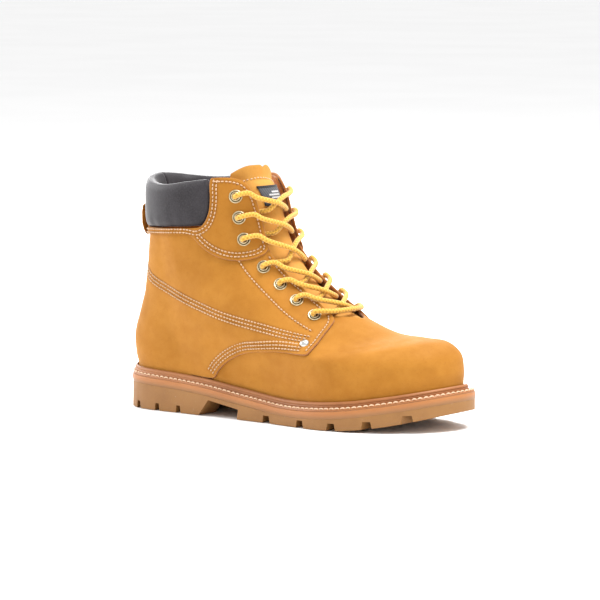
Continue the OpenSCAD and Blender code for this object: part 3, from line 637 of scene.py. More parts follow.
def braid():
    """Round braid: two sets of diagonal strands on the cord's own UV map, in golden yarn with
    flecks. u counts millimetres along the cord and v once round it."""
    f = Finish("lace_cord", Sheen_Weight=0.3, Specular_IOR_Level=0.25)
    pitch, strands_round = 2.6, 3
    lengthwise = f.pattern(0) * (2 * math.pi / pitch)
    round_it = f.pattern(1) * (2 * math.pi * strands_round)
    one = (lengthwise + round_it).math("SINE", 0.0)
    two = (lengthwise - round_it).math("SINE", 0.0)
    strands = one.math("MAXIMUM", two) * 0.5 + 0.5
    fleck = (one * two).step(0.25, 0.75)
    fibre = f.noise(0.5, 3, 0.6)
    colour = f.mix((strands * 0.7 + fibre * 0.5).step(0.3, 1.0), (0.46, 0.215, 0.020),
        (0.72, 0.415, 0.060))
    colour = f.mix(fleck * 0.2, colour, (0.82, 0.58, 0.17))
    return f.done(colour, 0.62 + fibre * 0.2, strands + fibre * 0.3, 0.35, 0.9)


BRAID = braid()
tip = Finish("aglet_plastic", Roughness=0.25, Coat_Weight=0.3)
AGLET = tip.done(tip.mix(tip.noise(4).step(0.4, 0.6), (0.62, 0.36, 0.07), (0.5, 0.27, 0.05)))

# %% [markdown]
# ## Lace
# The lace comes first because it is the one free cord. It starts as the short bar across the
# bottom pair of eyelets, and each end climbs from side to side: in through an eyelet, out from
# under the facing, over the tongue and the other facing to the next eyelet up. The two ends are
# tucked inside the collar. A spline through the same route points as in the CAD keeps it there.

# %% Route of the lace
EYELETS = [(0.919, 48.5), (0.836, 50.8), (0.759, 51.6), (0.681, 46), (0.628, 42.2), (0.576, 39.8),
    (0.523, 37.2)]
FRONT_EDGE = [32.5, 33, 35, 32, 30, 28, 26]
FLANGE_H = 1.35
EYELET_BACK = GAP - WIDE_GAP
TONGUE_EDGE_O = -0.5 - 1.25 * LACE_D - 3 * GAP
BAR_O = LACE_D / 2
UNDER_O = EYELET_BACK - 0.9 - BAR_O  # the lace's height just behind an eyelet


def tongue_o(v, a):
    """The tongue's face: its own height along the middle, sinking to its edges as a parabola."""
    q = 1 - np.minimum(np.abs(a) / 46, 1) ** 2
    middle = np.interp(v, [0.485, 0.53, 0.6, 0.75, 1], [-2.3, -3.2, -5, -3.6, -1.5])
    return mix(TONGUE_EDGE_O, middle, q)


def eyelet_face(i):
    """The top three eyelets sit on the facing and the others on the quarter."""
    return float(facing_o(45) if i < 3 else quarter_o(45))


def through(i, s):
    """Into eyelet i on side s: the points on both sides of its hole."""
    v, a = EYELETS[i]
    return [on(v, s * a, eyelet_face(i) + FLANGE_H + 0.4 + BAR_O), on(v, s * a, UNDER_O)]


def crossing(i, s):
    """Route from eyelet i on side s to the outside of the eyelet above it on the other side. The
    strands that end on the outer side lie on top where two strands cross."""
    ev, fv = EYELETS[i][0], EYELETS[i - 1][0]
    edge, next_edge = FRONT_EDGE[i], FRONT_EDGE[i - 1]
    next_face = eyelet_face(i - 1)
    on_tongue = [(0.30, 20, 0.5), (0.56, 9, 0.8), (0.82, -6, 2.2)]
    if s < 0:
        on_tongue = [(0.27, 16, 0.6), (0.42, 4, 1.6), (0.56, -10, LACE_D + 0.6)]
    points = through(i, s) + [on(mix(ev, fv, 0.22), s * (edge + 3), -0.9 - BAR_O)]
    for share, a, lift in on_tongue:
        v = mix(ev, fv, share)
        points.append(on(v, s * a, tongue_o(v, a) + BAR_O + lift))
    v = mix(ev, fv, 0.95 if s > 0 else 0.88)
    return points + [on(v, -s * (next_edge - 1), next_face + BAR_O + 0.6),
        on(fv + 0.008, -s * (next_edge + 5), next_face + BAR_O + 1.4)]


TAIL_O = COLLAR_IN + BAR_O + 1.2
TAIL_V, TAIL_A = 0.7, 80


def climb(i, s):
    """All crossings from eyelet i up to the top one, from side to side."""
    return [] if i < 1 else crossing(i, s) + climb(i - 1, -s)


def tail(s):
    """The end of the lace, from the top eyelet down inside the collar."""
    inside = [(0.965, 55, -4.5), (0.99, 60, -8), (0.955, 67, -TAIL_O), (0.87, 74, -TAIL_O),
        (0.78, 78, -TAIL_O + 1.5), (TAIL_V, TAIL_A, -TAIL_O + 4)]
    return through(0, s) + [on(v, s * a, o) for v, a, o in inside]


step_o = LEATHER_T + GAP
bar = [on(0.524, 24, step_o + BAR_O), on(0.53, 0, tongue_o(0.53, 0) + BAR_O + 3.4),
    on(0.524, -24, step_o + BAR_O)]
route = np.array((climb(6, 1) + tail(1))[::-1] + bar + climb(6, -1) + tail(-1))


# %% Smooth centreline
def smooth_path(points, spacing, tension=0.5):
    """Centripetal spline: each span's parameter grows with the square root of its length, which
    stops a long span from looping round a short one. Then it is spaced evenly."""
    ends = np.concatenate([2 * points[:1] - points[1:2], points, 2 * points[-1:] - points[-2:-1]])
    chords = np.linalg.norm(np.diff(ends, axis=0), axis=1)
    knot = np.concatenate([[0], np.cumsum(chords ** tension)])
    t0, t1, t2, t3 = (knot[k:len(knot) - 3 + k][:, None, None] for k in range(4))
    p0, p1, p2, p3 = (ends[k:len(ends) - 3 + k][:, None] for k in range(4))
    t = t1 + (t2 - t1) * np.linspace(0, 1, 24, endpoint=False)[None, :, None]
    a1 = (t1 - t) / (t1 - t0) * p0 + (t - t0) / (t1 - t0) * p1
    a2 = (t2 - t) / (t2 - t1) * p1 + (t - t1) / (t2 - t1) * p2
    a3 = (t3 - t) / (t3 - t2) * p2 + (t - t2) / (t3 - t2) * p3
    b1 = (t2 - t) / (t2 - t0) * a1 + (t - t0) / (t2 - t0) * a2
    b2 = (t3 - t) / (t3 - t1) * a2 + (t - t1) / (t3 - t1) * a3
    line = ((t2 - t) / (t2 - t1) * b1 + (t - t1) / (t2 - t1) * b2).reshape(-1, 3)
    line = np.concatenate([line, points[-1:]])
    s = travel(line)
    return placed(np.linspace(0, s[-1], int(s[-1] / spacing) + 1), s, line), s[-1]


LACE_STEP = 1.3  # mm between its rings
centreline, LACE_LENGTH = smooth_path(route, LACE_STEP)
print("lace length", round(LACE_LENGTH), "mm through", len(route), "route points")

# %% Lace and aglets
LACE_SIDES = 14
rings = tube_points(centreline, LACE_D / 2 * 1.04, LACE_SIDES)
lace_uv = np.stack(np.meshgrid(np.arange(len(centreline)) * LACE_STEP,
    np.arange(LACE_SIDES) / LACE_SIDES, indexing="ij"), -1).reshape(-1, 2)
lace = mesh_piece("lace", rings, tube_faces(len(centreline), LACE_SIDES), BRAID, "root",
    "lace_cord", uv=lace_uv)

AGLET_WIDTHS = BAR_O * np.array([0.6, 0.98, 1.04, 1.04, 1, 1, 1, 1, 1, 1, 0.99, 0.95, 0.82, 0.5])
sheaths = []
for s in (1, -1):
    line = on(np.linspace(TAIL_V, 0.6, 14), np.linspace(TAIL_A, 81, 14) * s, -TAIL_O + 4)
    sheaths.append(tube_points(line, AGLET_WIDTHS, LACE_SIDES).reshape(-1, 3))
sheath_faces = [np.concatenate([f, f + len(sheaths[0])]) for f in tube_faces(14, LACE_SIDES)]
aglets = mesh_piece("aglets", np.concatenate(sheaths), sheath_faces, AGLET, "root", "aglet_plastic")

# %% [markdown]
# ## Sole edge
# The midsole and welt are swept profiles: a closed outline of (distance out from the upper,
# height over the seat) carried round the boot. The distance changes with the angle because the
# sole stands out more at the toe. The storm ridge is a rounded bead with a groove along it.

# %% Sweeping a profile round the boot
AROUND = np.arange(0, 360, 1.5)
MARGIN = margin(AROUND)


def sweep(name, profile, finish, slot, body="root", filled=False):
    """Each profile entry is (distance out, height). The rows are closed into a ring, or with
    filled the first and last are joined straight across the boot."""
    rows = np.array([ledge(AROUND, np.broadcast_to(d, AROUND.shape), h) for d, h in profile])
    n = len(AROUND)
    faces = [grid_faces(len(rows), n, around=True, closed=not filled)]
    if filled:
        k = np.arange(1, n // 2 - 1)
        cap = np.stack([k, k + 1, n - k - 1, n - k], -1)
        tips = np.array([[0, 1, n - 1], [n // 2, n // 2 + 1, n // 2 - 1]])
        last = (len(rows) - 1) * n
        faces = [np.concatenate([faces[0], cap[:, ::-1], cap + last]),
            np.concatenate([tips[:, ::-1], tips + last])]
    height = np.array([h for _, h in profile])
    height = (height - height.min()) / np.ptp(height)
    uv = np.stack([np.tile(AROUND / 360, len(rows)), np.repeat(height, n)], -1)
    return mesh_piece(name, rows, faces, finish, body, slot, uv=uv)


# %% Midsole and welt
EDGE_PROFILE = [(-0.9, -7.99), (-0.5, -7.97), (-0.38, -7.8), (-0.28, -7.2), (-0.12, -6.4), (0, -5.5),
    (0, -4.6), (-0.08, -3.8), (-0.25, -3.0), (-0.5, -2.24)]
sweep("midsole", [(MARGIN + d, h) for d, h in EDGE_PROFILE], MIDSOLE, "midsole_rubber", filled=True)

BEAD_SHARE = 0.76  # the ridge's drawn height as a share of the CAD's
RIDGE_OUT = RIDGE_GAP + np.minimum(RIDGE_W, MARGIN - 2.6)
bead = RIDGE_OUT - RIDGE_GAP
FLANGE = [(-0.9, -2.18), (-0.6, -2.15), (-0.72, -1.7), (-0.95, -1.2), (-1.25, -0.75), (-1.6, -0.4),
    (-2.0, -0.18)]
GROOVE = [(0.45, -0.1), (0.1, -0.05), (-0.1, 0.25), (0, 0.9), (-0.02, 1.6), (-0.22, 2.1), (-0.42, 2.4),
    (-0.2, 2.7), (-0.05, 3.3), (-0.08, 4.0)]
CROWN = [(0.14, 4.8), (0.32, 5.45), (0.55, 5.85), (0.75, 5.8), (0.92, 5.3), (1, 4.4), (1, 1.4),
    (1, 0.2)]
welt_profile = ([(-5.3, -2.15)] + [(MARGIN + d, h) for d, h in FLANGE]
    + [(RIDGE_OUT + d, h) for d, h in GROOVE] + [(RIDGE_OUT - bead * d, h) for d, h in CROWN]
    + [(-5.0, -0.02)])
sweep("welt", [(d, h * BEAD_SHARE if h > 0 else h) for d, h in welt_profile], WELT, "welt_rubber")

# %% [markdown]
# ## Outsole
# The tread is cut from a block, with notches and channels, and the CAD's flat faces are already
# the right shape. Only the knife-sharp corners give it away, so this piece is a copy of the CAD
# mesh, merged, with its flat triangles dissolved and its corners bevelled.

# %% Outsole
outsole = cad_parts["outsole"].data.copy()
outsole.materials.clear()
flat = bmesh.new()
flat.from_mesh(outsole)
bmesh.ops.remove_doubles(flat, verts=flat.verts, dist=0.00001)
bmesh.ops.dissolve_limit(flat, angle_limit=math.radians(1.0), verts=flat.verts, edges=flat.edges)
flat.to_mesh(outsole)
flat.free()
outsole.materials.append(GUM)
outsole.polygons.foreach_set("use_smooth", np.ones(len(outsole.polygons), bool))
tread = settle("outsole", outsole, "root")
bevel = tread.modifiers.new("rounded", "BEVEL")
bevel.width, bevel.segments, bevel.limit_method = 0.55 * MM, 3, "ANGLE"
bevel.angle_limit = math.radians(32)
bevel.miter_outer = "MITER_ARC"
tread.modifiers.new("even", "WEIGHTED_NORMAL").weight = 90
print("outsole", len(outsole.polygons), "faces before the bevel")

# %% [markdown]
# ## Panels
# A leather panel is cut from four curves: lower edge, upper edge, front and back. A Coons patch
# fills them: the straight blend from the lower to the upper edge, plus the blend from front to
# back, minus the blend of the four corners. Curves are given by a few (v, a) points and smoothed.

# %% Curves and Coons patches
SCALE = np.array([150.0, 0.9])  # about how many mm one unit of v and one degree are
SAMPLES = 600


def curve(points, n=400, soft_mm=1.3):
    """A smooth line through control points (v, a): evenly sampled, then averaged with a bell
    curve soft_mm wide so that its corners are rounded. Its ends stay in place."""
    points = np.asarray(points, float)
    s = travel(points * SCALE)
    line = placed(np.linspace(0, s[-1], SAMPLES), s, points)
    reach = min(max(soft_mm / (s[-1] / (SAMPLES - 1)), 0.01), SAMPLES / 10)
    pad = int(4 * reach) + 1
    bell = np.exp(-0.5 * (np.arange(-pad, pad + 1) / reach) ** 2)
    before = 2 * line[0] - line[1:pad + 1][::-1]
    after = 2 * line[-1] - line[-pad - 1:-1][::-1]
    longer = np.concatenate([before, line, after])
    line = np.stack([np.convolve(c, bell / bell.sum(), "valid") for c in longer.T], -1)
    s = travel(line * SCALE)
    return placed(np.linspace(0, s[-1], n), s, line)


def coons(low, high, front, back, rows, cols):
    """The patch between four curves. Front and back are first moved so that the corners meet."""
    low, high, front, back = curve(low, cols), curve(high, cols), curve(front, rows), curve(back, rows)
    s, t = np.linspace(0, 1, cols)[None, :, None], np.linspace(0, 1, rows)[:, None, None]
    front = front + mix(low[0] - front[0], high[0] - front[-1], t[:, 0])
    back = back + mix(low[-1] - back[0], high[-1] - back[-1], t[:, 0])
    corners = ((1 - s) * (1 - t) * low[0] + s * (1 - t) * low[-1] + (1 - s) * t * high[0]
        + s * t * high[-1])
    return (1 - t) * low + t * high + (1 - s) * front[:, None] + s * back[:, None] - corners


# %% Seams
SEAM_STEP = 0.4  # mm between the points of a sewn line


def spaced(p, *others):
    """A line and what goes with it, read every SEAM_STEP mm along it."""
    s = travel(p)
    return [placed(np.arange(0, s[-1], SEAM_STEP), s, q) for q in (p, *others)]


def seam(points, height, side=1, shift=0.0, soft_mm=2.5):
    """A sewn line: positions in mm, tangents and surface normals. height(v, a) is how far out it
    lies. shift moves it sideways, down the boot for a line that runs from toe to heel."""
    v, a = (curve(points, 900, soft_mm) * [1, side]).T
    p, n = on(v, a, height(v, a)), normal(v, a)
    t = unit(np.gradient(p, axis=0))
    p, t, n = spaced(p + np.cross(n, t) * shift * side, t, n)
    return p, unit(t), unit(n)


def sewn(points, seams, width=1.0):
    """How near each point p is to a seam: e to the power of -(d / width)^2, where the squared
    distance d^2 to the nearest seam point q is p.p + q.q - 2 p.q, for a block of points at a time."""
    if not seams:
        return np.zeros(points.shape[:-1])
    line = np.concatenate([s[0][::2] for s in seams])
    flat = points.reshape(-1, 3)
    lengths = np.sum(line**2, -1)
    near = [np.min(np.sum(block**2, -1, keepdims=True) + lengths - 2 * block @ line.T, -1)
        for block in np.array_split(flat, len(flat) // 1500 + 1)]
    return np.exp(-np.maximum(np.concatenate(near), 0) / width**2).reshape(points.shape[:-1])


# %% One leather panel
def panel(name, edges, side, layer, thick, cell, slot="nubuck", finishes=PANEL, seams=(), holes=(),
        bulge=0.55, swell=0.22):
    """A closed panel: the Coons grid laid on its layer, pressed in at its seams, its inner face
    thick millimetres below, and holes cut where (v, a, radius) says. cell is a cell's size."""
    draft = coons(*edges, 40, 60)
    draft = on(draft[..., 0], draft[..., 1], 0)
    rows, cols = (int(np.linalg.norm(np.diff(draft, axis=k), axis=-1).sum(k).max() / cell) + 2
        for k in (0, 1))
    va = coons(*edges, rows, cols)
    v, a = va[..., 0], va[..., 1] * side
    n = normal(v, a)
    wave = bumpy(on(v, a, 0), 17, swell) - 0.1
    outer, inner = on(v, a, layer(a) + wave), on(v, a, layer(a) + wave - thick)
    outer = outer - n * 0.38 * sewn(outer, seams)[..., None]
    keep = np.ones((rows - 1, cols - 1), bool)
    middle = (outer[:-1, :-1] + outer[1:, :-1] + outer[:-1, 1:] + outer[1:, 1:]) / 4
    for hv, ha, radius in holes:
        away, axis = middle - on(hv, ha * side, 0), normal(hv, ha * side)
        keep &= np.linalg.norm(away - (away @ axis)[..., None] * axis, axis=-1) > radius
    points, faces, part = shell(outer, inner, bulge, keep)
    # Nearness to the seams goes into the UV map; the nubuck finish paints shade there along the stitch
    # grooves.
    near = sewn(points, seams, 1.3)
    return mesh_piece(name, points, faces, finishes, "root", slot, index=part,
        uv=np.stack([near, near], -1))


# %% [markdown]
# ## Where the panels end
# All edges are given for the outer side. The inner side is the same pattern turned over, which is
# how a pair of quarters is cut from one knife.

# %% Edges of the panels
SKIRT = -0.01 * (RIDGE_H - 0.5)
QUARTER_FRONT = [(0.521, 25.9), (0.56, 26.6), (0.604, 27.7), (0.662, 32), (0.733, 36.1), (0.80, 36.5),
    (0.86, 37), (0.925, 37.5), (0.985, 38)]
CORNER = [(0.477, 36), (0.455, 42), (0.4265, 48), (0.3845, 54)]
SWEEP_DOWN = [(0.338, 75), (0.322, 81.2), (0.30, 87), (0.271, 92.1), (0.232, 97), (0.187, 101.5),
    (0.135, 105), (0.08, 107.5)]
QUARTER_LOW = ([(0.521, 25.9), (0.499, 29)] + CORNER + [(0.33, 60), (0.302, 62.9), (0.320, 66.5),
    (0.335, 70)] + SWEEP_DOWN + [(0.004, 109.8), (-0.008, 114), (-0.012, 121), (SKIRT, 126),
    (SKIRT, 140), (SKIRT, 160), (SKIRT, 179.4)])
QUARTER_HIGH = [(0.985, 38), (0.99, 44.5), (0.99, 54), (0.985, 62.5), (0.93, 69.4), (0.835, 75),
    (0.80, 81), (0.795, 87), (0.80, 97), (0.806, 109), (0.812, 130), (0.816, 150), (0.818, 179.4)]
QUARTER_BACK = [(SKIRT, 179.4), (0.818, 179.4)]
EYE_EDGE = [(0.80, 32.7), (0.86, 32.5), (0.93, 32.6)]
FACING_FRONT = [(0.727, 36.2), (0.745, 34)] + EYE_EDGE + [(0.968, 34), (0.985, 36.5)]
FACING_BEND = [(0.716, 40), (0.706, 48), (0.70, 56), (0.698, 63), (0.70, 69), (0.706, 74),
    (0.718, 79.5), (0.738, 84.5), (0.768, 88.7)]
FACING_LOW = [(0.727, 36.2)] + FACING_BEND + [(0.781, 92), (0.784, 100), (0.79, 120), (0.797, 140),
    (0.80, 179.4)]
FACING_WING = [(0.965, 66.5), (0.905, 70.5), (0.86, 73.5), (0.825, 77.7), (0.807, 82)]
FACING_HIGH = [(0.985, 36.5), (0.996, 42), (1.0, 48), (1.0, 56), (0.998, 63)] + FACING_WING + [
    (0.804, 87), (0.806, 95), (0.808, 100), (0.815, 120), (0.822, 140), (0.824, 179.4)]
FACING_BACK = [(0.80, 179.4), (0.824, 179.4)]
VAMP_TOP = [(0.50, 0), (0.52, 26), (0.497, 32), (0.485, 44), (0.38, 62), (0.385, 69), (0.37, 81),
    (0.31, 92), (0.23, 101.5), (0.13, 107.5), (0.03, 111)]
RIVET = (0.402, 56.8)

# %% Sewn lines of the outer side
COUNTER_LINE = [(0.71, 176), (0.695, 166), (0.668, 154), (0.628, 140.9), (0.567, 116.5), (0.527, 102),
    (0.497, 90.7), (0.481, 79.7), (0.468, 69.2), (0.450, 60.6), (0.425, 52.5)]
STAY_LINE = [(0.70, 61.4), (0.602, 56.1), (0.531, 51.9), (0.462, 47.3)]
LOWER_CURVE = [(0.318, 65), (0.338, 70)] + SWEEP_DOWN + [(0.02, 109.3)]
CORNER_EDGE = [(0.518, 27), (0.498, 30.3)] + CORNER + [(0.32, 61)]
FRONT_LINE = [(0.54, 26.4), (0.604, 27.7), (0.662, 32), (0.715, 35.2)]
FACING_EDGE = [(0.728, 36.6)] + FACING_BEND
FACING_SIDE = [(0.997, 62.6)] + FACING_WING + [(0.803, 88)]
FACING_EYE = [(0.735, 35)] + EYE_EDGE + [(0.965, 34), (0.985, 38), (0.996, 44), (1.0, 50), (1.0, 61)]
BAND = [(0.775, 88.5), (0.785, 95), (0.79, 110), (0.797, 140), (0.80, 172)]
QUARTER_ROWS = [(COUNTER_LINE, (-2.75, 0, 2.75)), (STAY_LINE, (0,)), (LOWER_CURVE, (-2.6, -5.2, -7.8)),
    (CORNER_EDGE, (-2.6,)), (FRONT_LINE, (2.6,))]
FACING_ROWS = [(FACING_EDGE, (-2.4, -5.2)), (FACING_SIDE, (2.4, 5.2)), (FACING_EYE, (2.8,)),
    (BAND, (-1.1, -3.6))]


def sewn_rows(rows, layer, side):
    """The seams of one panel: every line is sewn once for each of its shifts."""
    return [seam(line, lambda v, a: layer(a), side, shift) for line, shifts in rows for shift in shifts]


SEAMS = {side: (sewn_rows(QUARTER_ROWS, quarter_o, side), sewn_rows(FACING_ROWS, facing_o, side))
    for side in (1, -1)}
print("sewn lines on each side:", [len(group) for group in SEAMS[1]], "on the quarter and the facing")

# %% Vamp, quarters, facings
vamp_high = [(v, -a) for v, a in VAMP_TOP[:0:-1]] + VAMP_TOP
vamp_low = [(SKIRT, a) for a in np.linspace(-111, 111, 40)]
panel("vamp", (vamp_low, vamp_high, [(SKIRT, -111), (0.03, -111)], [(SKIRT, 111), (0.03, 111)]), 1,
    np.zeros_like, LEATHER_T, 1.7, bulge=0.4, swell=0.16)

NAMES = {1: "lateral", -1: "medial"}
HOLES = [(v, a, 3.1) for v, a in EYELETS]
for side, name in NAMES.items():
    panel("quarter_" + name, (QUARTER_LOW, QUARTER_HIGH, QUARTER_FRONT, QUARTER_BACK), side, quarter_o,
        LEATHER_T, 1.25, seams=SEAMS[side][0], holes=HOLES)
    panel("facing_" + name, (FACING_LOW, FACING_HIGH, FACING_FRONT, FACING_BACK), side, facing_o,
        TRIM_T, 0.95, seams=SEAMS[side][1], holes=HOLES[:3])

# %% [markdown]
# ## Backstay and linings
# A narrow strip covers the back seam. Inside, suede linings cover the quarters and cloth lines
# the vamp; they are seen only from above, so their grids are coarser.

# %% Backstay
back_seams = [seam([(v, a) for v in (0.035, 0.3, 0.6, 0.785)], lambda v, a: facing_o(a))
    for a in (173.4, 186.6)]
panel("backstay", ([(0.02, 172), (0.01, 180), (0.02, 188)], [(0.79, 172), (0.79, 180), (0.79, 188)],
    [(0.02, 172), (0.79, 172)], [(0.02, 188), (0.79, 188)]), 1, facing_o, TRIM_T, 1.0,
    seams=back_seams, bulge=0.45)

# %% Linings
INNER_SKIRT = -0.01 * (RIDGE_H - 3.4)
LINING_LOW = [(INNER_SKIRT, a) for a in np.linspace(61, 179.4, 30)]
LINING_HIGH = [(0.795, 61), (0.79, 80), (0.785, 110), (0.79, 179.4)]
for side, name in NAMES.items():
    panel("quarter_lining_" + name, (LINING_LOW, LINING_HIGH, [(INNER_SKIRT, 61), (0.795, 61)],
        [(INNER_SKIRT, 179.4), (0.79, 179.4)]), side, lining_o, LINING_T, 3.0, "suede_lining",
        [SUEDE, EDGE, SUEDE], bulge=0.3, swell=0.1)
front_low = [(INNER_SKIRT, a) for a in np.linspace(-58, 58, 30)]
front_high = [(0.35, -58), (0.46, -45), (0.495, -26), (0.48, 0), (0.495, 26), (0.46, 45), (0.35, 58)]
panel("vamp_lining", (front_low, front_high, [(INNER_SKIRT, -58), (0.35, -58)],
    [(INNER_SKIRT, 58), (0.35, 58)]), 1, lambda a: np.full_like(a, VAMP_LINING_O), LINING_T, 3.0,
    "lining_cloth", [LINING] * 3, bulge=0.3, swell=0.0)

# %% [markdown]
# ## Thread
# Each stitch is a small bead of thread that dips into the leather at both ends. There are well
# over a thousand, so one stitch has only a few dozen faces and all stitches of a group are one
# mesh, copied by array arithmetic.

# %% Stitches
RIVETS = ([RIVET[0]] * 2, [RIVET[1], -RIVET[1]], float(quarter_o(45)))
RIVET_CLEAR = 5


def bead_shape(length, width, height):
    """A stitch: six-sided rings along x whose size follows a flattened arch."""
    x = np.array([-0.5, -0.4, -0.15, 0.15, 0.4, 0.5])
    size = np.array([0.25, 0.75, 1, 1, 0.75, 0.25])
    sink = np.array([-0.9, -0.25, 0.1, 0.1, -0.25, -0.9]) * height
    angle = np.linspace(0, 2 * np.pi, 6, endpoint=False)
    points = np.stack([np.repeat(x * length, 6), np.outer(size, np.cos(angle)).ravel() * width / 2,
        (np.outer(size, np.sin(angle)) * height / 2 + sink[:, None]).ravel()], -1)
    return points, tube_faces(6, 6)


def stitches(name, seams, body="root", pitch=2.9, length=2.25, width=1.1, height=0.95, lift=0.05,
        finish=THREAD, slot="nubuck"):
    """Stitches at an even pitch along every seam of the list, but none under a rivet."""
    rows = []
    for line in seams:
        run = SEAM_STEP * (len(line[0]) - 1)
        count = max(int(run / pitch), 1)
        k = ((np.arange(count) + 0.5) * run / count / SEAM_STEP).astype(int)
        rows.append([q[k] for q in line])
    origin, x, z = (np.concatenate(q) for q in zip(*rows))
    origin = origin + z * lift
    clear = np.linalg.norm(origin[:, None] - on(*RIVETS), axis=-1).min(1) > RIVET_CLEAR
    origin, x, z = origin[clear], x[clear], z[clear]
    z = unit(z - x * np.sum(z * x, -1, keepdims=True))
    mesh_piece(name, *scatter(*bead_shape(length, width, height), origin, x, np.cross(z, x), z),
        finish, body, slot)
    print(name, len(origin), "stitches")


for side, name in NAMES.items():
    stitches("stitches_quarter_" + name, SEAMS[side][0])
    stitches("stitches_facing_" + name, SEAMS[side][1])
stitches("stitches_backstay", back_seams)

# %% Lockstitches of the welt
# The row runs on the flange, 1.55 mm in from its edge.
turn = np.arange(0, 360, 0.2)
line = ledge(turn, margin(turn) - 1.55, -0.12)
line, ahead = spaced(line, unit(np.roll(line, -1, 0) - np.roll(line, 1, 0)))
upright = np.tile([0, 0, 1.0], (len(line), 1))
stitches("stitches_welt", [(line, unit(ahead), upright)], pitch=4.6, length=4.1, width=1.35,
    height=1.15, lift=0.08, finish=WELT_THREAD, slot="welt_rubber")

# %% [markdown]
# ## Eyelets and rivets
# A rolled eyelet is a ring turned on a lathe: a flat flange outside, a groove, and a rolled inner
# rim that protects the lace. The rivet is a low dome.

# %% Eyelets and rivets
def seated(v, a, o):
    """Origins and directions for parts that sit on the surface with z along its normal."""
    v, a = np.asarray(v, float), np.asarray(a, float)
    z = normal(v, a)
    x = unit(np.cross(z, [0.0, 0, 1.0]))
    return on(v, a, o), x, np.cross(z, x), z


def eyelet_profile(depth):
    """A rolled inner rim, the groove, the flange, the barrel and its turned-over back."""
    roll = np.linspace(math.radians(200), math.radians(-20), 9)
    rim = [(3.02 + 0.55 * math.cos(t), 0.80 + 0.55 * math.sin(t)) for t in roll]
    flange = [(3.72, 0.42), (4.0, 0.40), (4.3, 0.55), (4.65, 0.66), (4.95, 0.6), (5.18, 0.4),
        (5.25, 0.1), (5.1, -0.25), (3.1, -0.3)]
    back = [(3.1, -depth), (4.3, -depth - 0.1), (4.3, -depth - 0.55), (3.9, -depth - 0.7)]
    return [(2.5, -depth - 0.6), (2.5, 0.5)] + rim + flange + back


for side, name in NAMES.items():
    points, faces, dark, count = [], [], [], 0
    for first, last in ((0, 3), (3, 7)):
        face_o = eyelet_face(first)
        shape, quads = lathe(eyelet_profile(face_o - EYELET_BACK), 32)
        v, a = np.array(EYELETS[first:last]).T
        made, made_faces = scatter(shape, quads, *seated(v, a * side, face_o))
        points.append(made)
        faces.append(made_faces[0] + count)
        count += len(made)
        middle = shape[quads].mean(1)
        radius = np.linalg.norm(middle[:, :2], axis=1)
        groove = (radius > 3.55) & (radius < 4.4) & (middle[:, 2] > 0)
        dark.append(np.tile(groove | (radius < 2.52), last - first))
    mesh_piece("eyelets_" + name, np.concatenate(points), np.concatenate(faces), [BRASS, BRASS_DARK],
        "root", "eyelet_brass", index=np.concatenate(dark))

DOME = [(0.02, -5.2), (0.02, 2.3), (0.8, 2.25), (1.6, 2.08), (2.4, 1.75), (3.0, 1.3), (3.5, 0.7),
    (3.75, 0.1), (3.8, -0.2), (1.4, -0.3), (1.4, -4.3), (3.0, -4.3), (3.0, -4.9)]
mesh_piece("rivets", *scatter(*lathe(DOME, 32), *seated(*RIVETS)), STEEL, "root", "rivet_steel")

# %% [markdown]
# ## Padded collar
# The collar is foam under coated cloth, sewn along its lower edge and turned over the top line.
# Its section bulges outwards a little and inwards more. A seam at the back draws the pad in, and
# the sewn edge puckers it.

# %% Collar
COLLAR_EDGE = np.array([[66.6, 0.985], [67.5, 0.972], [71.5, 0.905], [74.5, 0.862], [78.5, 0.829],
    [83, 0.812], [100, 0.814], [120, 0.821], [140, 0.828], [180, 0.83]])
SECTION = [(0.0, 0.30), (0.05, 0.62), (0.14, 0.86), (0.3, 0.97), (0.5, 1.0), (0.7, 0.95), (0.84, 0.8),
    (0.94, 0.5), (0.99, 0.15), (1.0, -0.15), (0.98, -0.5), (0.9, -0.78), (0.75, -0.95), (0.5, -1.0),
    (0.25, -0.97), (0.1, -0.86), (0.0, -0.66), (-0.01, -0.3)]


def closed_line(points, n):
    """A smooth closed line: the spline through the points and their neighbours across the join."""
    p = np.asarray(points, float)
    looped = np.concatenate([p[-2:], p, p[:3]])
    t = np.linspace(2, len(p) + 2, n, endpoint=False) / (len(looped) - 1)
    return along(looped, t)


def bell(x, width):
    """1 at x = 0, falling as e to the power of -(x / width)^2."""
    return np.exp(-((x / width) ** 2))


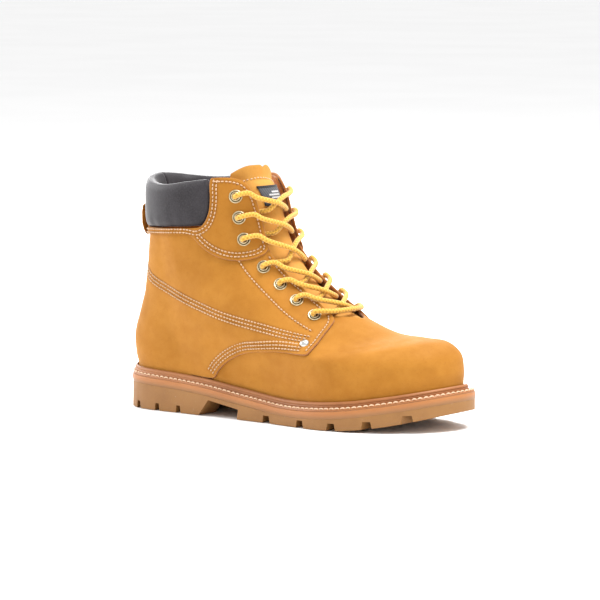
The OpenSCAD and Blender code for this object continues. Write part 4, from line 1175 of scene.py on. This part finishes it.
def collar_form(inset=0.0):
    """Rings of the pad, one for each angle, drawn in by inset for the foam under the skin. Depth
    grows with the root of the pad's height, so that it thins out where it meets the facing."""
    a = np.concatenate([np.linspace(66.6, 84, 46), np.linspace(85, 180, 110)])
    a = np.concatenate([a, 360 - a[-2::-1]])[:, None]
    away = half_turn(a)
    low = np.interp(away[:, 0], COLLAR_EDGE[:, 0], COLLAR_EDGE[:, 1])
    soft = np.exp(-0.5 * (np.arange(-6, 7) / 2.5) ** 2)
    low = np.convolve(np.pad(low, 6, mode="edge"), soft / soft.sum(), "valid")[:, None]
    share, depth = closed_line(SECTION, 52).T[:, None]
    pad = np.sqrt(np.minimum((1 - low) / 0.17, 1)) * np.clip((away - 66.3) / 3.0, 0.05, 1) ** 0.5
    o = np.where(depth > 0, depth * COLLAR_OUT, depth * COLLAR_IN) * pad
    pucker = (0.28 * np.sin(np.radians(a * 23)) * np.sin(np.radians(a * 7.3 + 40))
        * bell(share, 0.22))
    seam_at_back = 1.7 * bell(a - 180, 1.3) * (depth < 0.45)
    o = o + np.sign(depth) * (pucker - seam_at_back) + bumpy(on(0.9, a + 0 * share, 0), 21, 0.22)
    o = o - np.clip(o, -inset, inset)
    low_v, high_v = low + 0.002 + inset * 0.006, 0.998 - inset * 0.006
    form = on(mix(low_v, np.maximum(high_v, low_v + 0.002), share), a + 0 * share, o)
    dip = np.where(a < 180, 4.0, 2.0) * np.exp(-(((away - 112) / 30) ** 2))
    rise = 4.2 * np.exp(-(((away - 180) / 34) ** 2))
    form[..., 2] += (rise - dip) * share ** 2
    return form


def pad_piece(name, rings, finish, slot):
    """The rings as one closed tube, with a flat cap on each end."""
    return mesh_piece(name, rings, tube_faces(*rings.shape[:2]), finish, "root", slot)


collar = pad_piece("collar", collar_form(), COLLAR_SKIN, "collar_leather")
pad_piece("collar_foam", collar_form(1.2), FOAM, "foam")

# %% [markdown]
# ## Tongue
# The tongue is one leather shape with a padded back, held by thin bellows at both sides. Its top
# edge is cut a little uneven and rolls. A small woven label is sewn near the top, left plain with
# a generic pattern of bars.

# %% Tongue
TONGUE_HALF = ([0.485, 0.515, 0.56, 0.65, 0.78, 0.95, 1, 1.06], [15, 18, 25, 34, 42, 46, 46.5, 43])
TONGUE_TOP, PAD_V, PAD_T = 1.055, 0.545, 3.1


def tongue_face(v, a, u):
    """How far out the tongue's face lies; u goes from -1 to 1 across it. Its top rolls in waves."""
    top = np.clip((v - 0.93) / 0.12, 0, 1) ** 2
    ripple = top * (0.9 * np.sin(3.2 * u * np.pi / 2 + 0.4) - 0.7 * np.sin(6.5 * u + 1.0))
    return tongue_o(v, a) + ripple + bumpy(on(v, a, 0), 11, 0.16) - 0.25


def tongue_grid(start, end, offset, rows, cols, inset=0.0):
    """Rows from the tongue's base to its top, each as wide as the tongue is there. The top edge
    is cut lower towards its sides and has one small notch. Gives the points, v and a."""
    u = np.linspace(-1, 1, cols)[None]
    top_edge = (end - 0.052 * np.clip(-u / 0.55, 0, 1) ** 1.5
        - 0.03 * np.clip((u - 0.55) / 0.45, 0, 1) ** 2 - 0.007 * bell(u - 0.16, 0.06))
    v = start + (top_edge - start) * np.linspace(0, 1, rows)[:, None]
    a = (np.interp(v, *TONGUE_HALF) - inset) * u
    return on(v, a, tongue_face(v, a, u) + offset), v, a


outer, inner = (tongue_grid(0.485, TONGUE_TOP, o, 110, 70)[0] for o in (0.0, -TRIM_T))
points, faces, part = shell(outer, inner, 0.45)
mesh_piece("tongue", points, faces, [HONEY_TONGUE_LIT, EDGE, SUEDE], "tongue", "tongue_nubuck", index=part)

PAD_O = -TRIM_T - GAP
pad_top, pad_v, pad_a = tongue_grid(PAD_V, TONGUE_TOP - 0.012, PAD_O, 70, 46, 0.7)
swell = 0.5 * np.cos(np.linspace(-1, 1, 46)[None] * np.pi / 2) ** 0.5
pad_low = tongue_grid(PAD_V, TONGUE_TOP - 0.012, PAD_O - PAD_T, 70, 46, 0.7)[0]
pad_low = pad_low - normal(pad_v, pad_a) * swell[..., None]
points, faces, part = shell(pad_top, pad_low, 0.5, steps=6)
padding = mesh_piece("tongue_padding", points, faces, SUEDE, "tongue", "foam")
lining_top, lining_low = (tongue_grid(PAD_V, TONGUE_TOP, -TRIM_T - k * GAP - PAD_T - 0.5, 70, 46)[0]
    for k in (3, 6))
points, faces, part = shell(lining_top, lining_low, 0.3)
mesh_piece("tongue_lining", points, faces, SUEDE, "tongue", "lining_cloth")

# %% Stitching and label of the tongue
TOP_SEAM = [(0.90, -33), (0.95, -32), (0.975, -25), (0.995, -12), (1.005, 0), (1.008, 14), (1.0, 30),
    (0.985, 38), (0.93, 40)]
top_seam = seam(TOP_SEAM, lambda v, a: tongue_face(v, a, a / np.interp(v, *TONGUE_HALF)), soft_mm=2.0)
stitches("stitches_tongue", [top_seam], "tongue", pitch=2.8, length=2.1, slot="tongue_nubuck")


def label_patch(name, v0, v1, a0, a1, o_out, o_in, finish):
    """A thin cushion from (v0, a0) to (v1, a1), o_out over the tongue and o_in under that."""
    v, a = np.meshgrid(np.linspace(v0, v1, 26), np.linspace(a0, a1, 40), indexing="ij")
    lift = tongue_o(v, a) + bumpy(on(v, a, 0), 11, 0.16)
    points, faces, part = shell(on(v, a, lift + o_out), on(v, a, lift + o_in), 0.25)
    mesh_piece(name, points, faces, finish, "tongue", "label_cloth")


label_patch("tongue_label", 0.882, 0.964, -20.5, 20.5, 0.85, -0.1, LABEL)
label_patch("label_binding_low", 0.879, 0.888, -21, 21, 1.1, -0.1, BINDING)
label_patch("label_binding_high", 0.958, 0.967, -21, 21, 1.1, -0.1, BINDING)
for k, end in enumerate((8, 11, 5)):
    label_patch(f"label_bar_{k}", 0.908 + 0.013 * k, 0.914 + 0.013 * k, -11, end, 1.0, 0.2, MARK)

# %% Bellows beside the tongue
# Thin leather from the tongue's edge to the wall, with a soft fold along it.
v, i = np.meshgrid(np.linspace(0.56, 0.965, 70), np.linspace(0, 1, 24), indexing="ij")
a = mix(np.interp(v, *TONGUE_HALF) + 2.0, 61, i)
fold = 1.4 * np.sin(np.pi * i) * np.clip((v - 0.6) / 0.3, 0, 1)
o = TONGUE_EDGE_O + mix(-0.2, 1.0, i) + fold
for side, name in NAMES.items():
    points, faces, part = shell(on(v, a * side, o), on(v, a * side, o - 0.9), 0.3)
    mesh_piece("gusset_" + name, points, faces, [SUEDE, EDGE, SUEDE], "root", "tongue_nubuck",
        index=part)

# %% [markdown]
# ## Pull tab
# A strap folded into a loop and sewn flat at its foot. Its section is a long loop, thick by one
# strap, drawn as two closed lines and carried across the strap's width.

# %% Pull tab
TAB_W, TAB_T, TAB_GAP = 18, 1.3, 2.4
tab_back = float(on(0.915, 180, COLLAR_OUT)[0]) - GAP
tab_z0, tab_z1 = float(on(0.828, 180, 0)[2]) - 9, float(on(0.912, 180, 0)[2])


def tab_loop(grow, n=72):
    """A loop line: a half circle of the strap's fold on top, straight legs, and a pinched foot."""
    height, r = tab_z1 - tab_z0, TAB_GAP / 2 + grow
    cx = tab_back - TAB_GAP / 2 - TAB_T
    up = np.linspace(0, np.pi, 24)
    foot = np.linspace(np.pi, 2 * np.pi, 14)
    top = np.stack([cx + r * np.cos(up), tab_z0 + height - TAB_GAP / 2 - TAB_T + r * np.sin(up)], -1)
    low = np.stack([cx + r * 0.5 * np.cos(foot), tab_z0 + 3 + r * 0.5 * np.sin(foot)], -1)
    left, right = [[cx - r, tab_z0 + 9]], [[cx + r, tab_z0 + 9]]
    line = closed_line(np.concatenate([top, left, low, right]), n)
    share = np.clip((line[:, 1] - tab_z0) / height, 0, 1)
    behind = np.clip((cx - line[:, 0]) / TAB_GAP + 0.5, 0, 1)
    line[:, 0] -= 2.2 * share + 2.4 * behind * np.sin(np.pi * share)
    return line


across = np.array([0, 0.02, 0.06, 0.14, 0.3, 0.5, 0.7, 0.86, 0.94, 0.98, 1.0])
edge_round = np.sqrt(np.clip(1 - (1 - np.minimum(across, 1 - across) / 0.06).clip(0) ** 2, 0, 1))
edge_round = np.maximum(edge_round, 0.35)[:, None, None]
outside, inside = tab_loop(TAB_T), tab_loop(0.0)
mid = (outside + inside) / 2
rows = np.concatenate([mid + (outside - mid) * edge_round, mid + (inside - mid) * edge_round[::-1]])
y = TAB_W / 2 - Y_MID - TAB_W * np.concatenate([across, across[::-1]])
y = np.broadcast_to(y[:, None], rows.shape[:2])
tab_rows = np.stack([rows[..., 0], y, rows[..., 1]], -1)
mesh_piece("pull_tab", tab_rows, grid_faces(*rows.shape[:2], around=True, closed=True), HONEY,
    "pull_tab", "nubuck_strap")

# %% [markdown]
# ## Parts inside
# The shank, the toe cap and the boards keep their CAD shapes, and the footbed is swept anew. The kept
# parts get finishes, so an opened or exported model still shows real materials.

# %% Finishes for the parts inside
KEPT = {"bottom_filler": CORK, "shank": SPRING, "insole_board": BOARD, "steel_toe_cap": TOE_STEEL,
    "toe_cap_rim": BLACK_RUBBER, "heel_counter": BOARD}
for node, finish in KEPT.items():
    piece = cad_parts[node]
    if not piece.material_slots:
        piece.data.materials.append(finish)
    for material_slot in piece.material_slots:
        material_slot.material = finish


# The removable footbed has rounded edges and stays inside the CAD solid's space.
FOOTBED_EDGE = [(-10.2, 3.35), (-9.3, 3.5), (-8.9, 4.0), (-8.85, 5.2), (-8.9, 6.4), (-9.3, 7.0),
    (-10.4, 7.25), (-13, 7.2), (-17, 6.9)]
footbed = sweep("footbed", FOOTBED_EDGE, SOCK, "footbed_foam", "footbed", filled=True)

# %% [markdown]
# ## Studio
# A pale floor runs far back so that its edge is never seen. Soft lights stand behind the heel, on
# the inner side and overhead, and the white surroundings fill the shadows.

# %% Floor and lights
REACH, FLOOR_Z = 30.0, -0.0004
floor_mesh = bpy.data.meshes.new("floor")
corners = [(x * REACH, y * REACH, FLOOR_Z) for x, y in ((-1, -1), (1, -1), (1, 1), (-1, 1))]
floor_mesh.from_pydata(corners, [], [(0, 1, 2, 3)])
floor = link("floor", floor_mesh)
paper = Finish("paper", Roughness=0.9, Specular_IOR_Level=0.1)
white = paper.mix(paper.noise(400, 2).step(0.3, 0.7), (0.93, 0.93, 0.93), (0.91, 0.91, 0.91))
floor_mesh.materials.append(paper.done(white))

LOOK_AT = np.array([0, 0, 0.08])
for name, place, size, watts in (("key", (-2.2, -0.5, 1.0), (1.2, 1.0), 38),
        ("rim", (-1.5, 1.5, 0.9), (1.6, 1.4), 44), ("top", (0.7, 0.2, 2.0), (1.2, 1.0), 66)):
    light = bpy.data.lights.new(name, "AREA")
    light.shape, light.size, light.size_y, light.energy = "RECTANGLE", *size, watts
    lamp = link(name, light)
    lamp.location = place
    aim(lamp, place - LOOK_AT)
world = bpy.data.worlds.new("studio")
bpy.context.scene.world = world
world.use_nodes = True
world.node_tree.nodes["Background"].inputs["Color"].default_value = (1, 1, 1, 1)
world.node_tree.nodes["Background"].inputs["Strength"].default_value = 1.0
bpy.context.scene.view_settings.view_transform = "Standard"
